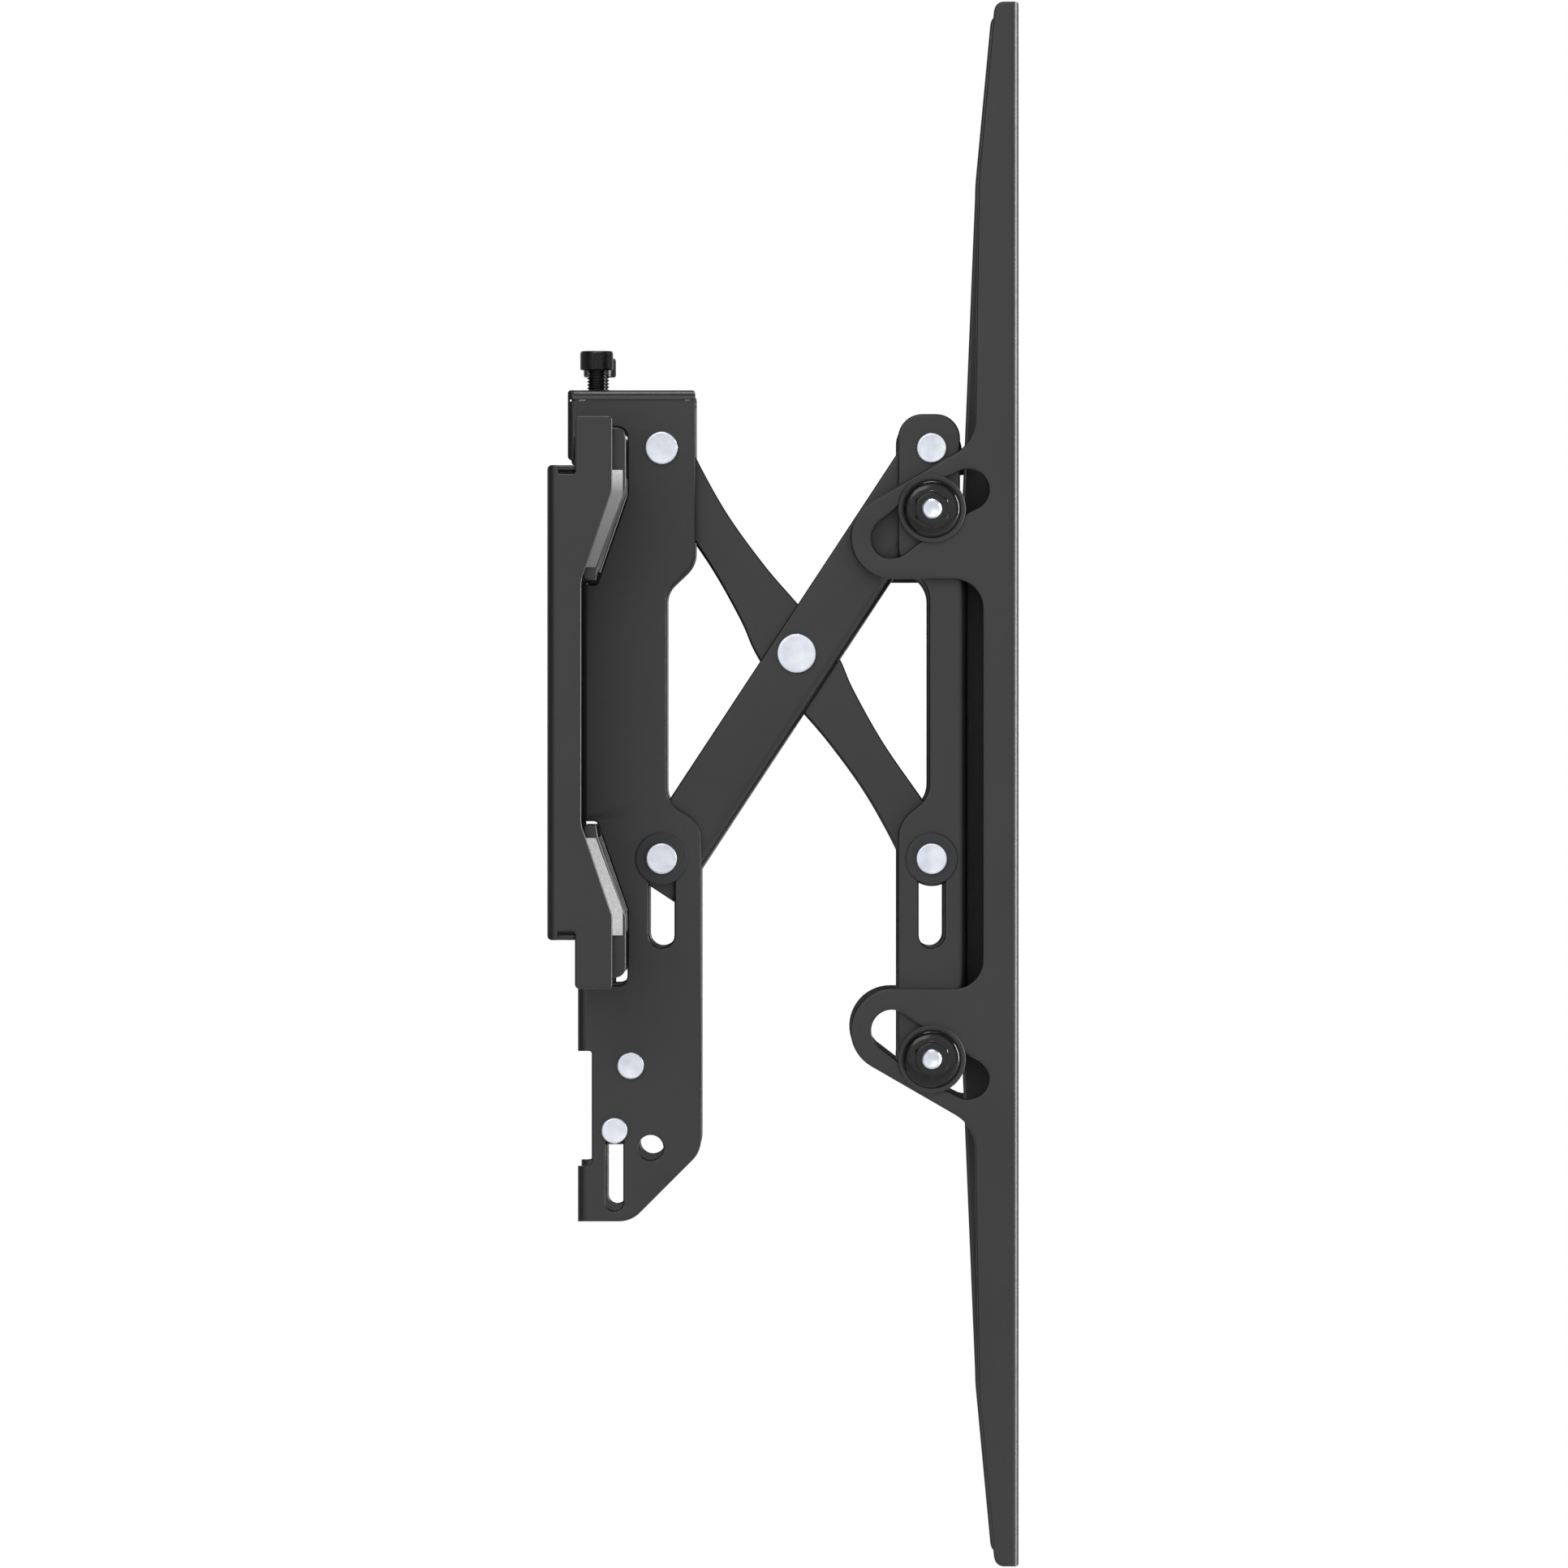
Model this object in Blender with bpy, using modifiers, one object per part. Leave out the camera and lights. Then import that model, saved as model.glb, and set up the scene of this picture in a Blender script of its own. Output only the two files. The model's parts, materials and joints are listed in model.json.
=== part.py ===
"""Pop-out wall mount for a display: one wall band and a mirrored pair of scissor arms.

Metres, +Z up.  +X points from the wall to the display, +Y runs along the wall.
The origin lies on the wall plane, in the middle of the wall band's back face.
Every piece of an arm is placed by its outboard distance u from the arm's own middle plane.
"""
import math

import bmesh
import bpy
from mathutils import Matrix, Vector

MM = 0.001
GAP = 0.3 * MM                      # clearance between pieces that touch on the real mount
EPS = 0.1 * MM                      # how far a fused wall is set in, so no two faces coincide
OVERRUN = 1.0 * MM                  # how far a cutter reaches past what it cuts

# ---- wall band ----
BAND_LENGTH = 560 * MM
BAND_HALF_HEIGHT = 73 * MM
BAND_SHEET = 2.0 * MM
BAND_BEND = 3.0 * MM
EAR_RISE = 15 * MM                  # the end plates stand proud of the rails
EAR_BACK_X = 8.5 * MM
EAR_FRONT_X = 20.0 * MM
EAR_KNEE_DROP = 7.5 * MM
EAR_WAIST_X = 10.5 * MM
EAR_WAIST_DROP = 35.5 * MM
EAR_KNEE_FILLET = 4.0 * MM
EAR_WAIST_FILLET = 6.0 * MM
RAIL_FRONT_X = 23.5 * MM            # front face of the two rails that the arms hang on
RAIL_KNEE_DROP = 7.0 * MM
RAIL_LEG_X = 15.0 * MM
RAIL_LEG_DROP = 31.5 * MM
HOOK_LIP_RISE = 9.0 * MM            # upper lip, which the bracket's hook drops behind
LATCH_LIP_DROP = 9.5 * MM           # lower lip, which the latch rises behind
RAIL_END_INSET = 6.6 * MM           # small plates that close the rails, inside the end plates
RAIL_END_SHEET = 1.6 * MM
RAIL_END_BACK_X = 10.8 * MM
RAIL_END_MARGIN = 0.7 * MM          # proud of the rail's front
RAIL_END_RISE = 11.5 * MM           # above the rail
RAIL_END_DROP = 4.0 * MM            # below the end of the rail's leg
RAIL_END_FILLET = 3.4 * MM
WALL_SLOT_LENGTH = 42 * MM
WALL_SLOT_WIDTH = 9 * MM
WALL_SLOT_DROP = 25 * MM
WALL_SLOT_PITCH = 88 * MM
WALL_SLOTS_PER_ROW = 6

# ---- one arm: widths across, measured from its middle plane ----
ARM_SPACING = 400 * MM              # between the middle planes of the two arms
CHANNEL_WIDTH = 36 * MM             # outside width of the arm bracket and the front channel
CHANNEL_SHEET = 2.0 * MM
ARM_SHEET = 2.5 * MM
ARM_CLEARANCE = 2.5 * MM            # between a channel's inner face and the straight arm
ARM_NEST_GAP = 0.5 * MM             # between the straight arm and the curved plates inside it
WASHER_THICK = 1.1 * MM
HEAD_THICK = 1.3 * MM               # slider pin heads
RIVET_HEAD_THICK = 2.1 * MM
RAIL_SIDE_GAP = 3.2 * MM            # from the front channel to the display rail's side walls
RAIL_SHEET = 2.0 * MM

# ---- scissor ----
WALL_PIVOT_X = 35 * MM
PIVOT_RISE = 5.5 * MM               # top pivots above the wall band
REACH = 83.25 * MM                  # wall pivot to front pivot, pulled out
PIVOT_DROP = 126.5 * MM             # top pivot to slider, pulled out
FOLD_DEG = 23.0                     # how far each arm turns to fold flat
PIVOT_PIN_D = 6.0 * MM
CENTRE_PIN_D = 8.0 * MM
CENTRE_HEAD_RIM = 2.0 * MM          # heads overhang their shafts by these
TOP_RIVET_RIM = 2.0 * MM
FRONT_RIVET_RIM = 1.6 * MM
SLIDER_HEAD_RIM = 1.75 * MM
SLIDER_PLAY = 1.0 * MM              # each side of a slider pin in its slot
SLIDER_WASHER_RIM = 4.0 * MM        # washers overhang the slot
SLIDER_END_PLAY = 1.0 * MM
ARM_OPEN_SIDE = 8.0 * MM            # straight arm, from its axis to the open edge
ARM_BEND_SIDE = 12.2 * MM           # straight arm, from its axis to the bent edge
ARM_TAIL = 9.0 * MM
ARM_BRIDGE_FROM_CENTRE = (10 * MM, 60 * MM)
ARM_TAIL_BRIDGE = 30 * MM
CURVED_END_R = 8.5 * MM
CURVED_STATIONS = ((62 * MM, 6.7 * MM), (46 * MM, 5.8 * MM), (28 * MM, 6.7 * MM),
                   (14 * MM, 8.5 * MM), (0, 10.4 * MM), (-9 * MM, 10.2 * MM),
                   (-19 * MM, 8.5 * MM), (-37 * MM, 7.2 * MM), (-56 * MM, 7.6 * MM))

# ---- arm bracket ----
NOTCH_RISE = 12 * MM                # room above the band for the levelling foot
NOTCH_DROP = 14 * MM
TOP_PLATE_RISE = 8.3 * MM           # from the notch up to the top plate
TOP_PLATE_THICK = 3.0 * MM
HOOK_START = 1.0 * MM               # the hook's lower edge, above the band
BRACKET_BACK_X = 9.25 * MM
NOTCH_CLEARANCE = 1.0 * MM
LEG_CLEARANCE = 1.75 * MM
SHELF_DROP = 5.0 * MM               # below the end of the rail's leg
SHOULDER_UPPER_X = 45.4 * MM
SHOULDER_LOWER_X = 47.2 * MM
BRACKET_WAIST_X = 36.5 * MM
SHOULDER_UPPER_Z = 43.5 * MM
WAIST_UPPER_Z = 35 * MM
WAIST_LOWER_Z = -30.5 * MM
SHOULDER_LOWER_Z = -37 * MM
SHOULDER_FILLET = 9 * MM
NOTCH_FILLET = 3.0 * MM
WINDOW_DROP = 34.25 * MM
WINDOW_HEIGHT = 35.5 * MM
WINDOW_X = 13.5 * MM
TAB_HEIGHT = 17 * MM
CORNER_CUT = 21.5 * MM
LOCK_HOLE_D = 7.75 * MM
LOCK_HOLE_FROM_PIN = (11.2 * MM, -5.25 * MM)

# ---- levelling ----
SCREW_X = 15 * MM
SCREW_D = 6.0 * MM
SCREW_HEAD_RIM = 2.0 * MM
SCREW_HEAD_H = 6.0 * MM
SCREW_EXPOSED = 6.2 * MM            # bare thread between the head and the bracket
SCREW_SOCKET_AF = 5.0 * MM
SCREW_SOCKET_DEPTH = 3.0 * MM
NUT_WALL = 2.0 * MM                 # thinnest wall of a nut, at its flats
NUT_H = 5.0 * MM
FOOT_HALF_WIDTH = 12 * MM
FOOT_SEAT = 3.0 * MM                # floor left under the screw's tip in its foot
FOOT_ROUND = 3.5 * MM
LEVEL_TRAVEL = 4.0 * MM

# ---- latch ----
LATCH_PIN_DROP = 58.75 * MM         # below the band
LATCH_PIN_D = 4.8 * MM
LATCH_PIN_RIM = 1.6 * MM
LATCH_PIN_PLAY = 0.325 * MM
LATCH_TRAVEL = 18.0 * MM
LATCH_END_PLAY = 4.0 * MM
LATCH_RIVET_FROM_PIN = (5.0 * MM, 20.0 * MM)
LATCH_RIVET_D = 5.0 * MM
LATCH_SHEET = 2.0 * MM
LATCH_SIDE_GAP = 2.0 * MM
LATCH_CHEEK_AHEAD = 4.5 * MM        # the cheek's reach round the pin
LATCH_CHEEK_ABOVE = 13.75 * MM
LATCH_CHEEK_BELOW = 4.25 * MM
LATCH_GRIP = 5.0 * MM               # the plate's grip edge, below its cheeks
SPRING_R = 2.4 * MM
SPRING_WIRE_D = 0.8 * MM
SPRING_TURNS = 6

# ---- front channel ----
FRONT_CAP = 10.5 * MM               # above the front pivot
FRONT_CAP_FILLET = 7.5 * MM
FRONT_BACK = 10.4 * MM              # rear edge of the pads, behind the front pivots
FRONT_PAD_AHEAD = 8.75 * MM
FRONT_WAIST_AHEAD = -0.8 * MM
FRONT_WEB_AHEAD = 11.0 * MM
FRONT_PAD_BELOW_PIVOT = 34.5 * MM
FRONT_PAD_ABOVE_SLIDER = 11 * MM
FRONT_PAD_STEP = 8 * MM             # height over which a pad runs into the waist
FRONT_WEB_BELOW_PIVOT = 40.5 * MM
FRONT_WEB_ABOVE_STUD = 21.75 * MM

# ---- display rail ----
RAIL_HEIGHT = 482 * MM
TILT_MID_Z = -25 * MM               # the rail is a mirror image about this height
RAIL_FACE_AHEAD = 26.75 * MM        # display face, ahead of the front pivots
RAIL_DEPTH_TIP = 7.25 * MM
RAIL_DEPTH_TAPER = 12.25 * MM
RAIL_DEPTH_EAR = 13.5 * MM
RAIL_DEPTH_MIDDLE = 11.1 * MM
RAIL_DEPTH_PLAIN = 16.5 * MM
RAIL_TAPER_DROP = 53.25 * MM
PLAIN_HALF_HEIGHT = 85 * MM         # full-depth part of the side wall without ears
RAIL_BEND = 2.5 * MM
VESA_SLOT_WIDTH = 6.5 * MM
VESA_SLOT_LENGTH = 26 * MM
VESA_STEPS = (100 * MM, 150 * MM, 200 * MM)

# ---- tilt ----
TILT_AXIS_AHEAD = 51.75 * MM        # virtual tilt axis, ahead of the front pivots
TILT_STUD_RISE = 84.75 * MM
TILT_SLOT_DOWN_DEG = 8.73
TILT_SLOT_UP_DEG = 7.29
EAR_MARGIN = 6.4 * MM               # metal left round the tilt slot
EAR_THROAT_FILLET = 10 * MM
EAR_FOOT_FILLET = 9 * MM
RAIL_TIP_FILLET = 3.0 * MM
RAIL_TAPER_FILLET = 30 * MM
EAR_SLOPE_DEG = 30.0
STUD_D = 6.0 * MM
STUD_HEAD_RIM = 1.5 * MM
STUD_HEAD_THICK = 1.5 * MM
STUD_SHOULDER_RIM = 3.0 * MM
BUSH_WALL = 3.075 * MM              # sleeve of the bush round the stud
BUSH_RIM = 4.125 * MM               # its flange overhangs the slot
BUSH_FLANGE_THICK = 1.5 * MM
NUT_FLANGE_RIM = 5.7 * MM
NUT_FLANGE_THICK = 1.2 * MM
LOCK_NUT_H = 4.6 * MM
STUD_END = 1.2 * MM                 # bolt end beyond the nut

# ---- worked out ----
BORE = 2 * GAP                      # how much a hole is wider than what passes through it
FLANGE_TOP_Z = BAND_HALF_HEIGHT
BAND_BOTTOM_Z = -BAND_HALF_HEIGHT
EAR_TOP_Z = FLANGE_TOP_Z + EAR_RISE
RAIL_KNEE_Z = FLANGE_TOP_Z - RAIL_KNEE_DROP
RAIL_LEG_Z = FLANGE_TOP_Z - RAIL_LEG_DROP
PIVOT_TOP_Z = FLANGE_TOP_Z + PIVOT_RISE
FRONT_X = WALL_PIVOT_X + REACH
SLIDER_Z = PIVOT_TOP_Z - PIVOT_DROP
CENTRE = Vector(((WALL_PIVOT_X + FRONT_X) / 2, 0, (PIVOT_TOP_Z + SLIDER_Z) / 2))
ARM_HALF = math.hypot(REACH, PIVOT_DROP) / 2
ARM_LEAN = math.atan2(REACH, PIVOT_DROP)
SLIDE_RUN = 2 * ARM_HALF * (math.cos(ARM_LEAN - math.radians(FOLD_DEG)) - math.cos(ARM_LEAN))
SLIDER_END_Z = SLIDER_Z - SLIDE_RUN - SLIDER_END_PLAY
SLIDER_SLOT_WIDTH = PIVOT_PIN_D + 2 * SLIDER_PLAY
CHANNEL_U = CHANNEL_WIDTH / 2
CHANNEL_IN_U = CHANNEL_U - CHANNEL_SHEET
ARM_U = CHANNEL_IN_U - ARM_CLEARANCE
CURVED_U = ARM_U - ARM_SHEET - ARM_NEST_GAP
WASHER_U = CHANNEL_U + GAP
PIN_HEAD_U = WASHER_U + WASHER_THICK + GAP
RAIL_IN_U = CHANNEL_U + RAIL_SIDE_GAP
RAIL_U = RAIL_IN_U + RAIL_SHEET
BUSH_U = RAIL_U + GAP
NUT_U = BUSH_U + BUSH_FLANGE_THICK + GAP
STUD_END_U = NUT_U + NUT_FLANGE_THICK + LOCK_NUT_H + STUD_END
HOOK_X = EAR_BACK_X - GAP - CHANNEL_SHEET
HOOK_BOTTOM_Z = FLANGE_TOP_Z + HOOK_START
NOTCH_TOP_Z = FLANGE_TOP_Z + NOTCH_RISE
NOTCH_BOTTOM_Z = BAND_BOTTOM_Z - NOTCH_DROP
NOTCH_SHELF_Z = RAIL_LEG_Z - SHELF_DROP
BRACKET_TOP_Z = NOTCH_TOP_Z + TOP_PLATE_RISE
TOP_PLATE_Z = BRACKET_TOP_Z + TOP_PLATE_THICK
WINDOW_TOP_Z = BAND_BOTTOM_Z - WINDOW_DROP
WINDOW_BOTTOM_Z = WINDOW_TOP_Z - WINDOW_HEIGHT
BRACKET_BOTTOM_Z = WINDOW_BOTTOM_Z - TAB_HEIGHT
LATCH_X = WINDOW_X + CHANNEL_SHEET + GAP
LATCH_LIP_X = LATCH_X + LATCH_SHEET + GAP
LATCH_PIN = (LATCH_LIP_X + LATCH_PIN_D / 2, BAND_BOTTOM_Z - LATCH_PIN_DROP)
LATCH_RIVET = (LATCH_PIN[0] + LATCH_RIVET_FROM_PIN[0], LATCH_PIN[1] + LATCH_RIVET_FROM_PIN[1])
LOCK_HOLE = (LATCH_PIN[0] + LOCK_HOLE_FROM_PIN[0], LATCH_PIN[1] + LOCK_HOLE_FROM_PIN[1])
LATCH_HALF_WIDTH = CHANNEL_IN_U - LATCH_SIDE_GAP
LATCH_TONGUE_Z = BAND_BOTTOM_Z - LEVEL_TRAVEL - GAP
SCREW_TIP_Z = FLANGE_TOP_Z + GAP + FOOT_SEAT + GAP
SCREW_HEAD_Z = TOP_PLATE_Z + SCREW_EXPOSED
STUD_Z = (TILT_MID_Z + TILT_STUD_RISE, TILT_MID_Z - TILT_STUD_RISE)
RAIL_FACE_X = FRONT_X + RAIL_FACE_AHEAD
RAIL_TOP_Z = TILT_MID_Z + RAIL_HEIGHT / 2
TILT_AXIS_X = FRONT_X + TILT_AXIS_AHEAD
TILT_R = math.hypot(TILT_AXIS_AHEAD, TILT_STUD_RISE)
TILT_REST = math.atan2(TILT_STUD_RISE, -TILT_AXIS_AHEAD)
TILT_SLOT_WIDTH = STUD_D + 2 * (BUSH_WALL + GAP)

WELD = 0.001 * MM
SMOOTH_ANGLE = math.radians(35)
ARC_STEP = math.radians(30)
ROUND_SIDES = 12

PARTS = None
CUTTERS = None


# ---------------------------------------------------------------- scene and materials
def clear_scene():
    for thing in list(bpy.data.objects):
        bpy.data.objects.remove(thing, do_unlink=True)


def new_collection(name):
    made = bpy.data.collections.new(name)
    bpy.context.scene.collection.children.link(made)
    return made


def material(name, colour, metallic, roughness):
    made = bpy.data.materials.new(name)
    made.use_nodes = True
    shader = made.node_tree.nodes["Principled BSDF"]
    shader.inputs["Base Color"].default_value = (*colour, 1)
    shader.inputs["Metallic"].default_value = metallic
    shader.inputs["Roughness"].default_value = roughness
    made.diffuse_color = (*colour, 1)
    return made


# ---------------------------------------------------------------- outlines in the X-Z plane
def arc(centre, radius, start, end):
    """Points on an arc from one angle to the other, ends included (radians)."""
    steps = max(2, math.ceil(abs(end - start) / ARC_STEP))
    angles = [start + (end - start) * i / steps for i in range(steps + 1)]
    return [(centre[0] + radius * math.cos(a), centre[1] + radius * math.sin(a)) for a in angles]


def circle(centre, diameter, sides=ROUND_SIDES):
    turn = 2 * math.pi / sides
    return [(centre[0] + diameter / 2 * math.cos(i * turn),
             centre[1] + diameter / 2 * math.sin(i * turn)) for i in range(sides)]


def slot(first, last, width):
    """A round-ended slot between the centres of its two ends."""
    run = math.atan2(last[1] - first[1], last[0] - first[0])
    half = math.pi / 2
    return (arc(last, width / 2, run - half, run + half)
            + arc(first, width / 2, run + half, run + 3 * half))


def rounded(corners):
    """An outline from its corners: (x, z) is sharp, (x, z, radius) is rounded."""
    points = []
    for i, corner in enumerate(corners):
        here = Vector(corner[:2])
        radius = corner[2] if len(corner) > 2 else 0
        before = Vector(corners[i - 1][:2]) - here
        after = Vector(corners[(i + 1) % len(corners)][:2]) - here
        opening = before.angle(after) if before.length and after.length else math.pi
        if radius == 0 or opening > math.radians(179):
            points.append(tuple(here))
            continue
        reach = min(radius / math.tan(opening / 2), 0.49 * before.length, 0.49 * after.length)
        radius = reach * math.tan(opening / 2)
        inward = (before.normalized() + after.normalized()).normalized()
        centre = here + inward * radius / math.sin(opening / 2)
        first = here + before.normalized() * reach - centre
        last = here + after.normalized() * reach - centre
        start = math.atan2(first.y, first.x)
        sweep = (math.atan2(last.y, last.x) - start + math.pi) % (2 * math.pi) - math.pi
        points += arc(centre, radius, start, start + sweep)
    return points


def smooth(stations, per_span=2):
    """A smooth line through a few stations (Catmull-Rom)."""
    line = [Vector(p) for p in stations]
    line = [2 * line[0] - line[1]] + line + [2 * line[-1] - line[-2]]
    points = []
    for a, b, c, d in zip(line, line[1:], line[2:], line[3:]):
        for i in range(per_span):
            t = i / per_span
            points.append(0.5 * (2 * b + (c - a) * t + (2 * a - 5 * b + 4 * c - d) * t * t
                                 + (3 * b - a - 3 * c + d) * t ** 3))
    points.append(line[-2])
    return [tuple(p) for p in points]


def bent_strip(corners, thick, bend):
    """The outline of a bent sheet: its outer corners in order, with the sheet on their left."""
    line = [Vector(p) for p in corners]
    inner = []
    for i, here in enumerate(line):
        before = (here - line[i - 1]).normalized() if i else (line[1] - here).normalized()
        after = (line[i + 1] - here).normalized() if i + 1 < len(line) else before
        left = Vector((-before.y, before.x)) + Vector((-after.y, after.x))
        inner.append(here + left * thick / (1 + before.dot(after)))
    outside = [(*p, bend if 0 < i < len(line) - 1 else 0) for i, p in enumerate(line)]
    inside = [(*p, bend - thick if 0 < i < len(line) - 1 else 0) for i, p in enumerate(inner)]
    return rounded(outside + inside[::-1])


def mirrored(points, height):
    return [(p[0], 2 * height - p[1], *p[2:]) for p in reversed(points)]


# ---------------------------------------------------------------- solids
def finish(name, mesh, place, look, tool):
    made = bpy.data.objects.new(name, mesh)
    made.matrix_world = place
    (CUTTERS if tool else PARTS).objects.link(made)
    if tool:
        made.hide_render = True
        made.display_type = "WIRE"
    if look:
        mesh.materials.append(look)
    mesh.shade_smooth()
    mesh.set_sharp_from_angle(angle=SMOOTH_ANGLE)
    return made


def extruded(name, outlines, thick, place, look=None, tool=False):
    """Flat outlines (the first is the rim, the others are holes) given a thickness."""
    flat = bpy.data.curves.new(name, "CURVE")
    flat.dimensions = "2D"
    flat.fill_mode = "BOTH"
    flat.extrude = thick / 2
    for outline in outlines:
        line = flat.splines.new("POLY")
        line.points.add(len(outline) - 1)
        for point, (x, y) in zip(line.points, outline):
            point.co = (x, y, 0, 1)
        line.use_cyclic_u = True
    sketch = bpy.data.objects.new(name + "_sketch", flat)
    CUTTERS.objects.link(sketch)
    bpy.context.view_layer.update()
    seen = sketch.evaluated_get(bpy.context.evaluated_depsgraph_get())
    mesh = bpy.data.meshes.new_from_object(seen)
    bpy.data.objects.remove(sketch)
    work = bmesh.new()
    work.from_mesh(mesh)
    bmesh.ops.remove_doubles(work, verts=work.verts, dist=WELD)
    bmesh.ops.recalc_face_normals(work, faces=work.faces)
    work.to_mesh(mesh)
    work.free()
    mesh.name = name
    return finish(name, mesh, place, look, tool)


def plate(name, outlines, ends, look=None, tool=False):
    """Outlines in X-Z, reaching from one Y place to another."""
    place = Matrix.Translation((0, sum(ends) / 2, 0)) @ Matrix.Rotation(math.pi / 2, 4, "X")
    return extruded(name, outlines, abs(ends[1] - ends[0]), place, look, tool)


def face_slot(name, x, y, z, run, width, vertical):
    """A cutter through a sheet that faces along X: a slot centred on (y, z)."""
    half = (run - width) / 2
    step = (half, 0) if vertical else (0, half)
    outline = slot((z - step[0], y - step[1]), (z + step[0], y + step[1]), width)
    place = Matrix.Translation((x, 0, 0)) @ Matrix.Rotation(-math.pi / 2, 4, "Y")
    return extruded(name, [outline], 4 * BAND_SHEET, place, tool=True)


def box(name, low, high, look=None, tool=False):
    work = bmesh.new()
    middle = (Vector(low) + Vector(high)) / 2
    size = Vector(high) - Vector(low)
    bmesh.ops.create_cube(work, size=1, matrix=Matrix.Diagonal((*size, 1)))
    mesh = bpy.data.meshes.new(name)
    work.to_mesh(mesh)
    work.free()
    return finish(name, mesh, Matrix.Translation(middle), look, tool)


def turned(name, profile, place, look=None, sides=ROUND_SIDES, closed=False, tool=False):
    """A turned piece: (radius, height) pairs from the top down the outside, about local Z."""
    mesh = bpy.data.meshes.new(name)
    edges = [(i, i + 1) for i in range(len(profile) - 1)]
    if closed:
        edges.append((len(profile) - 1, 0))
    mesh.from_pydata([(r, 0, h) for r, h in profile], edges, [])
    made = finish(name, mesh, place, look, tool)
    spin = made.modifiers.new("turn", "SCREW")
    spin.steps = sides
    spin.render_steps = sides
    spin.use_merge_vertices = True
    spin.merge_threshold = WELD
    spin.use_smooth_shade = False
    return made


def combine(target, tool, how):
    step = target.modifiers.new(how.lower(), "BOOLEAN")
    step.operation = how
    step.object = tool
    return target


def unite(target, *tools):
    for tool in tools:
        combine(target, tool, "UNION")
    return target


def cut(target, *tools):
    for tool in tools:
        combine(target, tool, "DIFFERENCE")
    return target


# ---------------------------------------------------------------- wall band
def band_section():
    upper = [(RAIL_LEG_X, RAIL_LEG_Z), (RAIL_FRONT_X, RAIL_KNEE_Z),
             (RAIL_FRONT_X, BAND_HALF_HEIGHT), (0, BAND_HALF_HEIGHT)]
    return bent_strip(upper + mirrored(upper, 0), BAND_SHEET, BAND_BEND)


def end_plate_outline():
    inset = BAND_HALF_HEIGHT - EPS
    upper = [(EPS, inset, BAND_BEND), (EAR_BACK_X, inset), (EAR_BACK_X, EAR_TOP_Z),
             (EAR_FRONT_X, EAR_TOP_Z), (EAR_FRONT_X, FLANGE_TOP_Z - EAR_KNEE_DROP, EAR_KNEE_FILLET),
             (EAR_WAIST_X, FLANGE_TOP_Z - EAR_WAIST_DROP, EAR_WAIST_FILLET)]
    return rounded(upper + mirrored(upper, 0))


def rail_end_outline():
    """Closes one rail's section and the gap between it and an arm bracket's notch."""
    front = RAIL_FRONT_X + RAIL_END_MARGIN
    foot = RAIL_LEG_Z - RAIL_END_DROP
    return rounded([
        (RAIL_END_BACK_X, foot), (RAIL_LEG_X, foot), (RAIL_LEG_X + RAIL_END_MARGIN, RAIL_LEG_Z),
        (front, RAIL_KNEE_Z), (front, FLANGE_TOP_Z + RAIL_END_RISE, RAIL_END_FILLET),
        (RAIL_END_BACK_X, FLANGE_TOP_Z + RAIL_END_RISE)])


def make_wall_band(look):
    half = BAND_LENGTH / 2
    section_end = half - BAND_SHEET / 2
    band = plate("wall_band", [band_section()], (-section_end, section_end), look)
    inside = half - BAND_SHEET / 4
    root = BAND_HALF_HEIGHT - BAND_SHEET / 2
    hook_lip = box("hook_lip_tool", (EAR_BACK_X, -inside, root),
                   (EAR_BACK_X + BAND_SHEET, inside, BAND_HALF_HEIGHT + HOOK_LIP_RISE), tool=True)
    latch_lip = box("latch_lip_tool", (LATCH_LIP_X, -inside, BAND_BOTTOM_Z - LATCH_LIP_DROP),
                    (LATCH_LIP_X + BAND_SHEET, inside, -root), tool=True)
    unite(band, hook_lip, latch_lip)
    for side in (-1, 1):
        ends = (side * half, side * (half - BAND_SHEET))
        unite(band, plate(f"band_end_tool{side}", [end_plate_outline()], ends, tool=True))
        inner_ends = (side * (half - RAIL_END_INSET), side * (half - RAIL_END_INSET - RAIL_END_SHEET))
        for name, outline in (("upper", rail_end_outline()), ("lower", mirrored(rail_end_outline(), 0))):
            unite(band, plate(f"rail_end_tool{side}_{name}", [outline], inner_ends, tool=True))
    for row in (-1, 1):
        for i in range(WALL_SLOTS_PER_ROW):
            y = (i - (WALL_SLOTS_PER_ROW - 1) / 2) * WALL_SLOT_PITCH
            z = row * (FLANGE_TOP_Z - WALL_SLOT_DROP)
            cut(band, face_slot(f"wall_slot_tool{row}_{i}", BAND_SHEET / 2, y, z,
                                WALL_SLOT_LENGTH, WALL_SLOT_WIDTH, vertical=False))
    return band


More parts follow.
